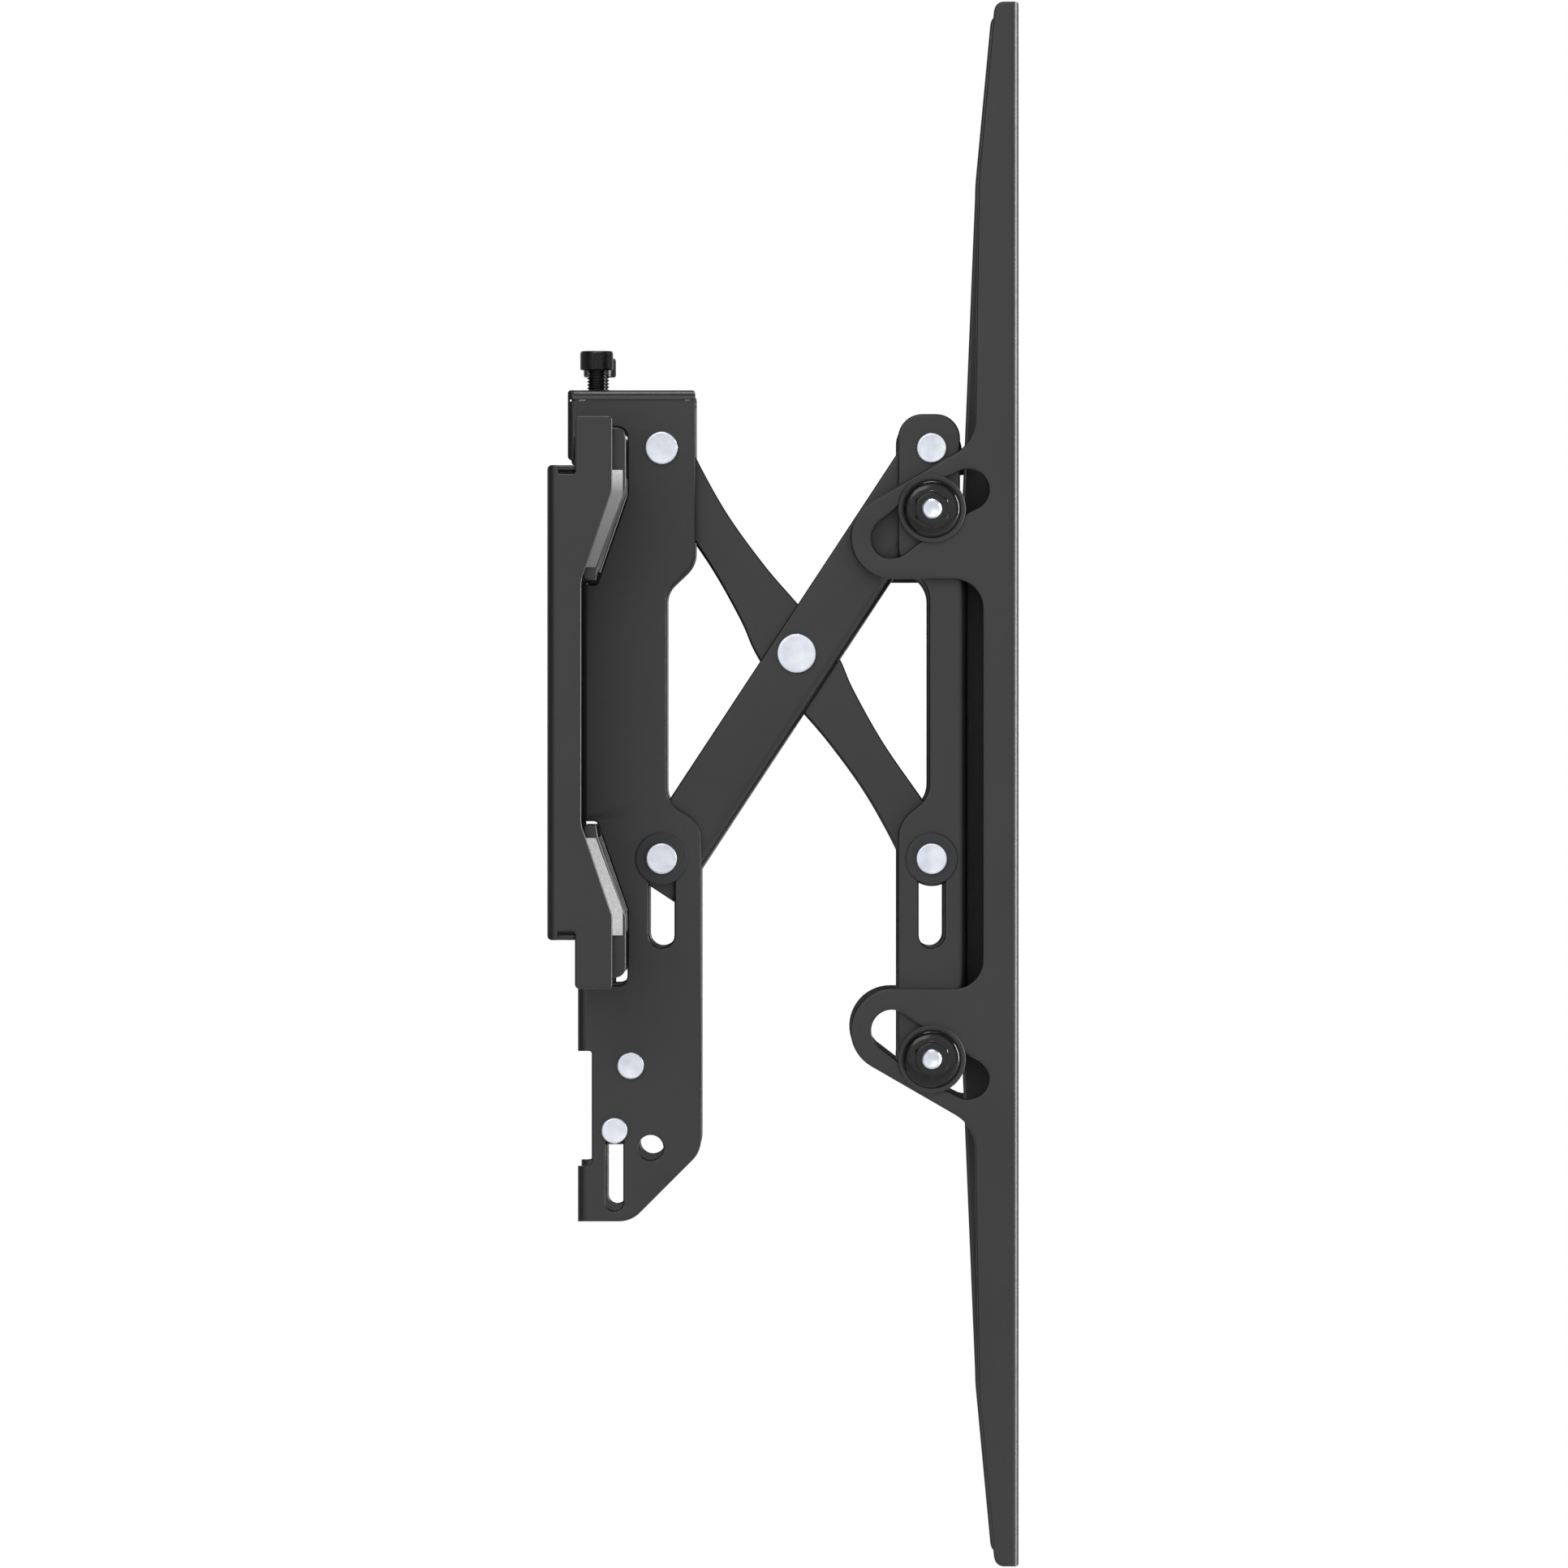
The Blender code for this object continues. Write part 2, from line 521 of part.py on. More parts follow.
# ---------------------------------------------------------------- arm bracket
def bracket_outline():
    """Side plate, from the hook down the wall side and back up the display side."""
    lean = (RAIL_FRONT_X - RAIL_LEG_X) / (RAIL_KNEE_Z - RAIL_LEG_Z)
    wall_x = RAIL_FRONT_X + NOTCH_CLEARANCE
    leg_foot = RAIL_LEG_X + LEG_CLEARANCE - (RAIL_LEG_Z - NOTCH_SHELF_Z) * lean
    knee_z = RAIL_KNEE_Z - (LEG_CLEARANCE - NOTCH_CLEARANCE) / lean
    inner_hook = HOOK_X + CHANNEL_SHEET
    over = BRACKET_TOP_Z + OVERRUN
    corner_x = SHOULDER_LOWER_X - CORNER_CUT
    corner_z = BRACKET_BOTTOM_Z + CORNER_CUT
    wall_side = [
        (HOOK_X, over), (HOOK_X, HOOK_BOTTOM_Z + CHANNEL_SHEET), (inner_hook, HOOK_BOTTOM_Z),
        (inner_hook, NOTCH_TOP_Z), (wall_x, NOTCH_TOP_Z, NOTCH_FILLET), (wall_x, knee_z),
        (leg_foot, NOTCH_SHELF_Z), (BRACKET_BACK_X, NOTCH_SHELF_Z),
        (BRACKET_BACK_X, -NOTCH_SHELF_Z), (leg_foot, -NOTCH_SHELF_Z), (wall_x, -knee_z),
        (wall_x, NOTCH_BOTTOM_Z, NOTCH_FILLET), (BRACKET_BACK_X, NOTCH_BOTTOM_Z),
        (BRACKET_BACK_X, WINDOW_TOP_Z), (WINDOW_X, WINDOW_TOP_Z), (WINDOW_X, WINDOW_BOTTOM_Z),
        (BRACKET_BACK_X, WINDOW_BOTTOM_Z), (BRACKET_BACK_X, BRACKET_BOTTOM_Z)]
    display_side = [
        (corner_x, BRACKET_BOTTOM_Z), (SHOULDER_LOWER_X, corner_z),
        (SHOULDER_LOWER_X, SHOULDER_LOWER_Z), (BRACKET_WAIST_X, WAIST_LOWER_Z),
        (BRACKET_WAIST_X, WAIST_UPPER_Z), (SHOULDER_UPPER_X, SHOULDER_UPPER_Z)]
    filleted = [(x, z, SHOULDER_FILLET) for x, z in display_side]
    return rounded(wall_side + filleted + [(SHOULDER_UPPER_X, over)])


def bracket_holes():
    pin_x, pin_z = LATCH_PIN
    pin_end = (pin_x, pin_z - LATCH_TRAVEL - LATCH_END_PLAY)
    return [circle((WALL_PIVOT_X, PIVOT_TOP_Z), PIVOT_PIN_D + BORE),
            slot((WALL_PIVOT_X, SLIDER_Z), (WALL_PIVOT_X, SLIDER_END_Z), SLIDER_SLOT_WIDTH),
            circle(LATCH_RIVET, LATCH_RIVET_D + BORE),
            slot(LATCH_PIN, pin_end, LATCH_PIN_D + 2 * LATCH_PIN_PLAY),
            circle(LOCK_HOLE, LOCK_HOLE_D)]


def across(middle, side, u_from, u_to):
    """The two Y places of a piece that reaches from one outboard distance to another."""
    return sorted((middle + side * u_from, middle + side * u_to))


def make_arm_bracket(tag, middle, side, look):
    name = f"{tag}_arm_bracket"
    outlines = [bracket_outline()] + bracket_holes()
    near = plate(name, outlines, across(middle, side, CHANNEL_IN_U, CHANNEL_U), look)
    far = plate(f"{name}_far_tool", outlines, across(middle, side, -CHANNEL_U, -CHANNEL_IN_U),
                tool=True)
    low_y, high_y = across(middle, side, EPS - CHANNEL_U, CHANNEL_U - EPS)
    back = BRACKET_BACK_X + EPS
    front = BRACKET_BACK_X + CHANNEL_SHEET
    hook_low = HOOK_BOTTOM_Z + CHANNEL_SHEET + EPS
    webs = [("hook", HOOK_X + EPS, HOOK_X + CHANNEL_SHEET - EPS, hook_low, BRACKET_TOP_Z + OVERRUN),
            ("middle", back, front, EPS - NOTCH_SHELF_Z, NOTCH_SHELF_Z - EPS),
            ("lower", back, front, WINDOW_TOP_Z + EPS, NOTCH_BOTTOM_Z - EPS),
            ("tab", back, front, BRACKET_BOTTOM_Z + EPS, WINDOW_BOTTOM_Z - EPS)]
    tools = [box(f"{name}_{part}_tool", (x0, low_y, z0), (x1, high_y, z1), tool=True)
             for part, x0, x1, z0, z1 in webs]
    top_y = across(middle, side, -CHANNEL_U - EPS, CHANNEL_U + EPS)
    top = box(f"{name}_top_tool", (HOOK_X - EPS, top_y[0], BRACKET_TOP_Z),
              (SHOULDER_UPPER_X + EPS, top_y[1], TOP_PLATE_Z), tool=True)
    unite(near, far, *tools, top)
    bore = turned(f"{name}_bore_tool", rod_profile(SCREW_D + BORE, TOP_PLATE_Z + OVERRUN, NOTCH_TOP_Z),
                  Matrix.Translation((SCREW_X, middle, 0)), tool=True)
    return cut(near, bore)


# ---------------------------------------------------------------- turned pieces
def rod_profile(diameter, top, bottom):
    return [(0, top), (diameter / 2, top), (diameter / 2, bottom), (0, bottom)]


def cross_place(x, z, middle, side):
    """Local Z points outboard, across the arm."""
    return Matrix.Translation((x, middle, z)) @ Matrix.Rotation(-side * math.pi / 2, 4, "X")


def double_headed(shaft_d, rim, head_from, head_thick):
    """A rivet or pin with a head on both sides of the arm."""
    end = head_from + head_thick
    shaft_r = shaft_d / 2
    head_r = shaft_r + rim
    upper = [(0, end), (head_r, end), (head_r, head_from), (shaft_r, head_from)]
    return upper + [(r, -h) for r, h in reversed(upper)]


def ring(outer_d, inner_d, top, bottom):
    return [(outer_d / 2, top), (outer_d / 2, bottom), (inner_d / 2, bottom), (inner_d / 2, top)]


def hex_corner_d(across_flats):
    return across_flats / math.cos(math.pi / 6)


def hexagon(name, thread_d, top, bottom, place, look=None, tool=False):
    profile = rod_profile(hex_corner_d(thread_d + 2 * NUT_WALL), top, bottom)
    return turned(name, profile, place, look, sides=6, tool=tool)


def bore_nut(nut, thread_d, top, bottom, place):
    profile = rod_profile(thread_d + BORE, top + OVERRUN, bottom - OVERRUN)
    return cut(nut, turned(f"{nut.name}_bore_tool", profile, place, tool=True))


# ---------------------------------------------------------------- levelling screw
def make_levelling(tag, middle, looks):
    place = Matrix.Translation((SCREW_X, middle, 0))
    head_top = SCREW_HEAD_Z + SCREW_HEAD_H
    shaft_r = SCREW_D / 2
    head_r = shaft_r + SCREW_HEAD_RIM
    edge = 0.5 * MM
    screw = turned(f"{tag}_levelling_screw", [
        (0, head_top), (head_r - edge, head_top), (head_r, head_top - edge),
        (head_r, SCREW_HEAD_Z), (shaft_r, SCREW_HEAD_Z), (shaft_r, SCREW_TIP_Z + edge),
        (shaft_r - edge, SCREW_TIP_Z), (0, SCREW_TIP_Z)], place, looks["oxide"])
    socket = rod_profile(hex_corner_d(SCREW_SOCKET_AF), head_top + OVERRUN, head_top - SCREW_SOCKET_DEPTH)
    cut(screw, turned(f"{tag}_socket_tool", socket, place, sides=6, tool=True))

    nut_top = BRACKET_TOP_Z - GAP
    nut = hexagon(f"{tag}_screw_nut", SCREW_D, nut_top, nut_top - NUT_H, place, looks["zinc"])
    bore_nut(nut, SCREW_D, nut_top, nut_top - NUT_H, place)

    foot_front = RAIL_FRONT_X + EPS
    foot_back = EAR_BACK_X + BAND_SHEET + GAP
    low = FLANGE_TOP_Z + GAP
    high = NOTCH_TOP_Z - GAP
    block = [(foot_back, low), (foot_front, low), (foot_front, high, FOOT_ROUND), (foot_back, high)]
    foot = plate(f"{tag}_screw_foot", [rounded(block)],
                 (middle - FOOT_HALF_WIDTH, middle + FOOT_HALF_WIDTH), looks["plastic"])
    seat = rod_profile(SCREW_D + BORE, high + OVERRUN, SCREW_TIP_Z - GAP)
    cut(foot, turned(f"{tag}_seat_tool", seat, place, tool=True))
    return screw, nut, foot


# ---------------------------------------------------------------- latch
def make_latch(tag, middle, side, looks):
    name = f"{tag}_latch_plate"
    low_y, high_y = across(middle, side, -LATCH_HALF_WIDTH, LATCH_HALF_WIDTH)
    cheek_top = LATCH_PIN[1] + LATCH_CHEEK_ABOVE
    cheek_low = LATCH_PIN[1] - LATCH_CHEEK_BELOW
    cheek_root = LATCH_X + LATCH_SHEET / 2
    cheek_front = LATCH_PIN[0] + LATCH_CHEEK_AHEAD
    latch = box(name, (LATCH_X, low_y, cheek_low - LATCH_GRIP),
                (LATCH_X + LATCH_SHEET, high_y, LATCH_TONGUE_Z), looks["coat"])
    cheek = rounded([(cheek_root, cheek_low), (cheek_front, cheek_low, LATCH_SHEET),
                     (cheek_front, cheek_top, LATCH_SHEET), (cheek_root, cheek_top)])
    eye = circle(LATCH_PIN, LATCH_PIN_D + BORE)
    for hand in (-1, 1):
        ends = across(middle, side, hand * (LATCH_HALF_WIDTH - LATCH_SHEET),
                      hand * (LATCH_HALF_WIDTH - EPS))
        unite(latch, plate(f"{name}_cheek_tool{hand}", [cheek, eye], ends, tool=True))

    head_u = CHANNEL_U + GAP
    pin = turned(f"{tag}_latch_pin",
                 double_headed(LATCH_PIN_D, LATCH_PIN_RIM, head_u, RIVET_HEAD_THICK),
                 cross_place(*LATCH_PIN, middle, side), looks["zinc"])
    rivet = turned(f"{tag}_latch_rivet",
                   double_headed(LATCH_RIVET_D, LATCH_PIN_RIM, head_u, RIVET_HEAD_THICK),
                   cross_place(*LATCH_RIVET, middle, side), looks["zinc"])
    return latch, pin, rivet, make_spring(tag, middle, looks["spring"])


def make_spring(tag, middle, look):
    """A tension spring from the latch rivet down to the latch pin."""
    start = Vector((LATCH_RIVET[0], middle, LATCH_RIVET[1]))
    end = Vector((LATCH_PIN[0], middle, LATCH_PIN[1]))
    along = (end - start).normalized()
    start += along * (LATCH_RIVET_D / 2 + SPRING_WIRE_D / 2 + GAP)
    end -= along * (LATCH_PIN_D / 2 + SPRING_WIRE_D / 2 + GAP)
    per_turn = 8
    count = SPRING_TURNS * per_turn
    out = Vector((0, 1, 0))
    up = along.cross(out)
    wire = bpy.data.curves.new(f"{tag}_latch_spring", "CURVE")
    wire.dimensions = "3D"
    wire.bevel_depth = SPRING_WIRE_D / 2
    wire.bevel_resolution = 0
    wire.use_fill_caps = True
    line = wire.splines.new("POLY")
    line.points.add(count)
    for i, point in enumerate(line.points):
        turn = 2 * math.pi * i / per_turn
        spot = start.lerp(end, i / count) + SPRING_R * (math.cos(turn) * out + math.sin(turn) * up)
        point.co = (*spot, 1)
    spring = bpy.data.objects.new(f"{tag}_latch_spring", wire)
    PARTS.objects.link(spring)
    wire.materials.append(look)
    weld = spring.modifiers.new("weld", "WELD")
    weld.merge_threshold = WELD
    return spring


# ---------------------------------------------------------------- scissor arms
def on_arm(along, aside, lean):
    """A point on an arm: distance up along it from the centre pivot, and to its left."""
    up = (math.sin(lean), math.cos(lean))
    left = (-math.cos(lean), math.sin(lean))
    return (CENTRE.x + along * up[0] + aside * left[0], CENTRE.z + along * up[1] + aside * left[1])


def straight_outline():
    """Bent along its lower right edge, rounded over the front pivot, square at the slider."""
    tail = -ARM_HALF - ARM_TAIL
    tip = ARM_HALF + ARM_OPEN_SIDE
    end_r = 0.95 * ARM_OPEN_SIDE
    corners = [(tail, ARM_OPEN_SIDE, 0), (tail, -ARM_BEND_SIDE, 0),
               (ARM_BRIDGE_FROM_CENTRE[1], -ARM_BEND_SIDE, ARM_BEND_SIDE),
               (tip, -ARM_OPEN_SIDE, end_r), (tip, ARM_OPEN_SIDE, end_r)]
    return rounded([(*on_arm(a, b, ARM_LEAN), radius) for a, b, radius in corners])


def curved_outline():
    """Waisted either side of a wide middle; half a turn about the centre pivot gives the same arm."""
    right = [(a, -b) for a, b in ((ARM_HALF, CURVED_END_R), *CURVED_STATIONS, (-ARM_HALF, CURVED_END_R))]
    edge = smooth([on_arm(a, b, -ARM_LEAN) for a, b in right])
    turned_edge = [(2 * CENTRE.x - x, 2 * CENTRE.z - z) for x, z in edge]
    low_end = arc((FRONT_X, SLIDER_Z), CURVED_END_R, ARM_LEAN, ARM_LEAN - math.pi)
    top_end = arc((WALL_PIVOT_X, PIVOT_TOP_Z), CURVED_END_R, ARM_LEAN + math.pi, ARM_LEAN)
    return edge + low_end[1:-1] + turned_edge + top_end[1:-1]


def arm_holes(top, slider):
    return [circle(top, PIVOT_PIN_D + BORE), circle(slider, PIVOT_PIN_D + BORE),
            circle((CENTRE.x, CENTRE.z), CENTRE_PIN_D + BORE)]


def make_arms(tag, middle, side, look):
    inner = ARM_U - ARM_SHEET
    outlines = [straight_outline()] + arm_holes((FRONT_X, PIVOT_TOP_Z), (WALL_PIVOT_X, SLIDER_Z))
    arm = plate(f"{tag}_straight_arm", outlines, across(middle, side, inner, ARM_U), look)
    unite(arm, plate(f"{tag}_straight_far_tool", outlines, across(middle, side, -ARM_U, -inner),
                     tool=True))
    tail = -ARM_HALF - ARM_TAIL
    lower_bridge = (tail + EPS, tail + ARM_TAIL_BRIDGE)
    bridge_ends = across(middle, side, EPS - ARM_U, ARM_U - EPS)
    face = -ARM_BEND_SIDE
    for i, (low, high) in enumerate((ARM_BRIDGE_FROM_CENTRE, lower_bridge)):
        corners = ((low, face + ARM_SHEET), (low, face + EPS), (high - EPS, face + EPS),
                   (high - EPS, face + ARM_SHEET))
        bridge = [on_arm(a, b, ARM_LEAN) for a, b in corners]
        unite(arm, plate(f"{tag}_bridge_tool{i}", [bridge], bridge_ends, tool=True))

    outlines = [curved_outline()] + arm_holes((WALL_PIVOT_X, PIVOT_TOP_Z), (FRONT_X, SLIDER_Z))
    curved = []
    for where, hand in (("outer", 1), ("inner", -1)):
        ends = across(middle, side, hand * CURVED_U, hand * (CURVED_U - ARM_SHEET))
        curved.append(plate(f"{tag}_curved_arm_{where}", outlines, ends, look))
    return arm, curved


def make_pivots(tag, middle, side, looks):
    """Rivets, slider pins and their washers."""
    zinc = looks["zinc"]
    head_u = CHANNEL_U + GAP
    made = {}
    for part, x, rim in (("top_rivet", WALL_PIVOT_X, TOP_RIVET_RIM),
                         ("front_rivet", FRONT_X, FRONT_RIVET_RIM)):
        profile = double_headed(PIVOT_PIN_D, rim, head_u, RIVET_HEAD_THICK)
        made[part] = turned(f"{tag}_{part}", profile, cross_place(x, PIVOT_TOP_Z, middle, side), zinc)

    place = cross_place(CENTRE.x, CENTRE.z, middle, side)
    profile = double_headed(CENTRE_PIN_D, CENTRE_HEAD_RIM, ARM_U + GAP, ARM_CLEARANCE - 2 * GAP)
    made["centre_rivet"] = turned(f"{tag}_centre_rivet", profile, place, zinc)
    tube_end = CURVED_U - ARM_SHEET - GAP
    tube = ring(CENTRE_PIN_D + 2 * CENTRE_HEAD_RIM, CENTRE_PIN_D + BORE, tube_end, -tube_end)
    made["centre_spacer"] = turned(f"{tag}_centre_spacer", tube, place, zinc, closed=True)

    for part, x in (("wall_slider", WALL_PIVOT_X), ("front_slider", FRONT_X)):
        place = cross_place(x, SLIDER_Z, middle, side)
        profile = double_headed(PIVOT_PIN_D, SLIDER_HEAD_RIM, PIN_HEAD_U, HEAD_THICK)
        made[part + "_pin"] = turned(f"{tag}_{part}_pin", profile, place, zinc)
        for where, hand in (("outer", 1), ("inner", -1)):
            ends = sorted((hand * WASHER_U, hand * (WASHER_U + WASHER_THICK)), reverse=True)
            washer = ring(SLIDER_SLOT_WIDTH + 2 * SLIDER_WASHER_RIM, PIVOT_PIN_D + BORE, *ends)
            name = f"{part}_washer_{where}"
            made[name] = turned(f"{tag}_{name}", washer, place, looks["plastic"], closed=True)
    return made


# ---------------------------------------------------------------- front channel and display rail
def front_outline():
    """Side plate: two deep pads joined by a narrow waist, and a rounded foot for the lower stud."""
    back = FRONT_X - FRONT_BACK
    waist = FRONT_X + FRONT_WAIST_AHEAD
    web = FRONT_X + FRONT_WEB_AHEAD
    pad = FRONT_X + FRONT_PAD_AHEAD
    top = PIVOT_TOP_Z + FRONT_CAP
    upper_pad = PIVOT_TOP_Z - FRONT_PAD_BELOW_PIVOT
    lower_pad = SLIDER_Z + FRONT_PAD_ABOVE_SLIDER
    web_top = PIVOT_TOP_Z - FRONT_WEB_BELOW_PIVOT
    web_low = STUD_Z[1] + FRONT_WEB_ABOVE_STUD
    bottom = STUD_Z[1] - FRONT_BACK
    foot_r = 0.98 * FRONT_BACK
    fillet = FRONT_PAD_STEP
    return rounded([
        (back, top, FRONT_CAP_FILLET), (back, upper_pad, fillet), (waist, upper_pad - FRONT_PAD_STEP, fillet),
        (waist, lower_pad + FRONT_PAD_STEP, fillet), (back, lower_pad, fillet),
        (back, bottom, foot_r), (FRONT_X + FRONT_BACK, bottom, foot_r),
        (FRONT_X + FRONT_BACK, web_low - FRONT_PAD_STEP), (web, web_low), (web, web_top),
        (pad, web_top + FRONT_PAD_STEP), (pad, top, FRONT_CAP_FILLET)])


def make_front_channel(tag, middle, side, look):
    name = f"{tag}_front_channel"
    holes = [circle((FRONT_X, PIVOT_TOP_Z), PIVOT_PIN_D + BORE),
             slot((FRONT_X, SLIDER_Z), (FRONT_X, SLIDER_END_Z), SLIDER_SLOT_WIDTH)]
    stud_holes = [circle((FRONT_X, z), STUD_D + BORE) for z in STUD_Z]
    near = plate(name, [front_outline()] + holes + stud_holes,
                 across(middle, side, CHANNEL_IN_U, CHANNEL_U), look)
    far = plate(f"{name}_far_tool", [front_outline()] + holes,
                across(middle, side, -CHANNEL_U, -CHANNEL_IN_U), tool=True)
    low_y, high_y = across(middle, side, EPS - CHANNEL_U, CHANNEL_U - EPS)
    face = FRONT_X + FRONT_WEB_AHEAD
    inset = CHANNEL_SHEET + EPS
    web = box(f"{name}_web_tool",
              (face - CHANNEL_SHEET, low_y, STUD_Z[1] + FRONT_WEB_ABOVE_STUD + inset),
              (face - EPS, high_y, PIVOT_TOP_Z - FRONT_WEB_BELOW_PIVOT - inset), tool=True)
    return unite(near, far, web)


def tilt_point(degrees):
    """Where a point of the upper tilt slot lies, turned from the stud about the tilt axis."""
    angle = TILT_REST + math.radians(degrees)
    return (TILT_AXIS_X + TILT_R * math.cos(angle), TILT_MID_Z + TILT_R * math.sin(angle))


def tilt_slot():
    centre = (TILT_AXIS_X, TILT_MID_Z)
    start = TILT_REST - math.radians(TILT_SLOT_UP_DEG)
    end = TILT_REST + math.radians(TILT_SLOT_DOWN_DEG)
    half = TILT_SLOT_WIDTH / 2
    low_end = arc(tilt_point(TILT_SLOT_DOWN_DEG), half, end, end + math.pi)
    high_end = arc(tilt_point(-TILT_SLOT_UP_DEG), half, start + math.pi, start + 2 * math.pi)
    return (arc(centre, TILT_R + half, start, end) + low_end[1:-1]
            + arc(centre, TILT_R - half, end, start) + high_end[1:-1])


def rail_outline():
    """Side wall with its two tilt ears, the lower half a mirror image of the upper."""
    tip = tilt_point(TILT_SLOT_DOWN_DEG)
    tip_r = TILT_SLOT_WIDTH / 2 + EAR_MARGIN
    slope = math.radians(EAR_SLOPE_DEG)
    tangent = (tip[0] - tip_r * math.sin(slope), tip[1] + tip_r * math.cos(slope))
    ear_x = RAIL_FACE_X - RAIL_DEPTH_EAR
    ear_z = tangent[1] + (ear_x - tangent[0]) * math.tan(slope)
    over = RAIL_FACE_X + OVERRUN
    upper = [(over, RAIL_TOP_Z), (RAIL_FACE_X - RAIL_DEPTH_TIP, RAIL_TOP_Z, RAIL_TIP_FILLET),
             (RAIL_FACE_X - RAIL_DEPTH_TAPER, RAIL_TOP_Z - RAIL_TAPER_DROP, RAIL_TAPER_FILLET),
             (ear_x, ear_z, EAR_THROAT_FILLET)]
    upper += arc(tip, tip_r, math.pi / 2 + slope, 3 * math.pi / 2)
    upper += [(RAIL_FACE_X - RAIL_DEPTH_MIDDLE, tip[1] - tip_r, EAR_FOOT_FILLET)]
    return rounded(upper + mirrored(upper, TILT_MID_Z))


def plain_side_outline():
    """The side wall without ears, a mirror image about the same height."""
    upper = [(RAIL_FACE_X + OVERRUN, RAIL_TOP_Z), (RAIL_FACE_X - RAIL_DEPTH_TIP, RAIL_TOP_Z, RAIL_TIP_FILLET),
             (RAIL_FACE_X - RAIL_DEPTH_TAPER, RAIL_TOP_Z - RAIL_TAPER_DROP),
             (RAIL_FACE_X - RAIL_DEPTH_PLAIN, TILT_MID_Z + PLAIN_HALF_HEIGHT)]
    return rounded(upper + mirrored(upper, TILT_MID_Z))


def make_display_rail(tag, middle, side, look):
    """A folded channel, trimmed to its two side outlines, then slotted."""
    name = f"{tag}_display_rail"
    ear_back = tilt_point(TILT_SLOT_DOWN_DEG)[0] - TILT_SLOT_WIDTH / 2 - EAR_MARGIN - 2 * OVERRUN
    fold = [(ear_back, -RAIL_U), (RAIL_FACE_X, -RAIL_U), (RAIL_FACE_X, RAIL_U), (ear_back, RAIL_U)]
    rail = extruded(name, [bent_strip(fold, RAIL_SHEET, RAIL_BEND)], RAIL_HEIGHT + 4 * OVERRUN,
                    Matrix.Translation((0, middle, TILT_MID_Z)), look)
    slots = [tilt_slot(), mirrored(tilt_slot(), TILT_MID_Z)]
    split = RAIL_IN_U - RAIL_BEND
    trim = plate(f"{name}_ear_tool", [rail_outline()] + slots,
                 across(middle, side, split, RAIL_U + OVERRUN), tool=True)
    plain = plate(f"{name}_plain_tool", [plain_side_outline()],
                  across(middle, side, -RAIL_U - OVERRUN, split + OVERRUN), tool=True)
    combine(rail, unite(trim, plain), "INTERSECT")
    for i, step in enumerate(VESA_STEPS):
        for hand in (-1, 1):
            cut(rail, face_slot(f"{name}_slot_tool{hand}_{i}", RAIL_FACE_X - RAIL_SHEET / 2, middle,
                                TILT_MID_Z + hand * step, VESA_SLOT_LENGTH, VESA_SLOT_WIDTH, vertical=True))
    return rail


def make_tilt_fasteners(tag, middle, side, looks):
    """On each of the two studs: a bush in the slot and a flanged lock nut."""
    stud_r = STUD_D / 2
    inner_r = stud_r + STUD_HEAD_RIM
    shoulder_r = stud_r + STUD_SHOULDER_RIM
    bore_r = stud_r + GAP
    sleeve_r = bore_r + BUSH_WALL - GAP
    bush_r = TILT_SLOT_WIDTH / 2 + BUSH_RIM
    bush_top = BUSH_U + BUSH_FLANGE_THICK
    flange_top = NUT_U + NUT_FLANGE_THICK
    head_u = CHANNEL_IN_U - GAP
    stud = [(0, STUD_END_U), (stud_r, STUD_END_U), (stud_r, RAIL_IN_U - GAP),
            (shoulder_r, RAIL_IN_U - GAP), (shoulder_r, CHANNEL_U + GAP), (stud_r, CHANNEL_U + GAP),
            (stud_r, head_u), (inner_r, head_u), (inner_r, head_u - STUD_HEAD_THICK),
            (0, head_u - STUD_HEAD_THICK)]
    bush = [(bush_r, bush_top), (bush_r, BUSH_U), (sleeve_r, BUSH_U), (sleeve_r, RAIL_IN_U),
            (bore_r, RAIL_IN_U), (bore_r, bush_top)]
    nut_top = flange_top + LOCK_NUT_H
    flange = rod_profile(STUD_D + 2 * NUT_FLANGE_RIM, flange_top, NUT_U)
    made = []
    for where, z in zip(("upper", "lower"), STUD_Z):
        place = cross_place(FRONT_X, z, middle, side)
        made.append(turned(f"{tag}_tilt_stud_{where}", stud, place, looks["zinc"]))
        made.append(turned(f"{tag}_tilt_bush_{where}", bush, place, looks["plastic"], closed=True))
        nut = turned(f"{tag}_tilt_nut_{where}", flange, place, looks["black_zinc"])
        unite(nut, hexagon(f"{nut.name}_hex_tool", STUD_D, nut_top, flange_top - EPS, place, tool=True))
        made.append(bore_nut(nut, STUD_D, nut_top, NUT_U, place))
    return made


# ---------------------------------------------------------------- assembly
def joint_frame(name, spot, pieces, parent=None):
    """An empty on a joint's axis, which carries the pieces that move together."""
    frame = bpy.data.objects.new(name, None)
    frame.location = spot
    PARTS.objects.link(frame)
    if parent:
        frame.parent = parent
        frame.matrix_parent_inverse = Matrix.Translation(parent["spot"]).inverted()
    frame["spot"] = spot
    for piece in pieces:
        piece.parent = frame
        piece.matrix_parent_inverse = Matrix.Translation(spot).inverted()
    return frame


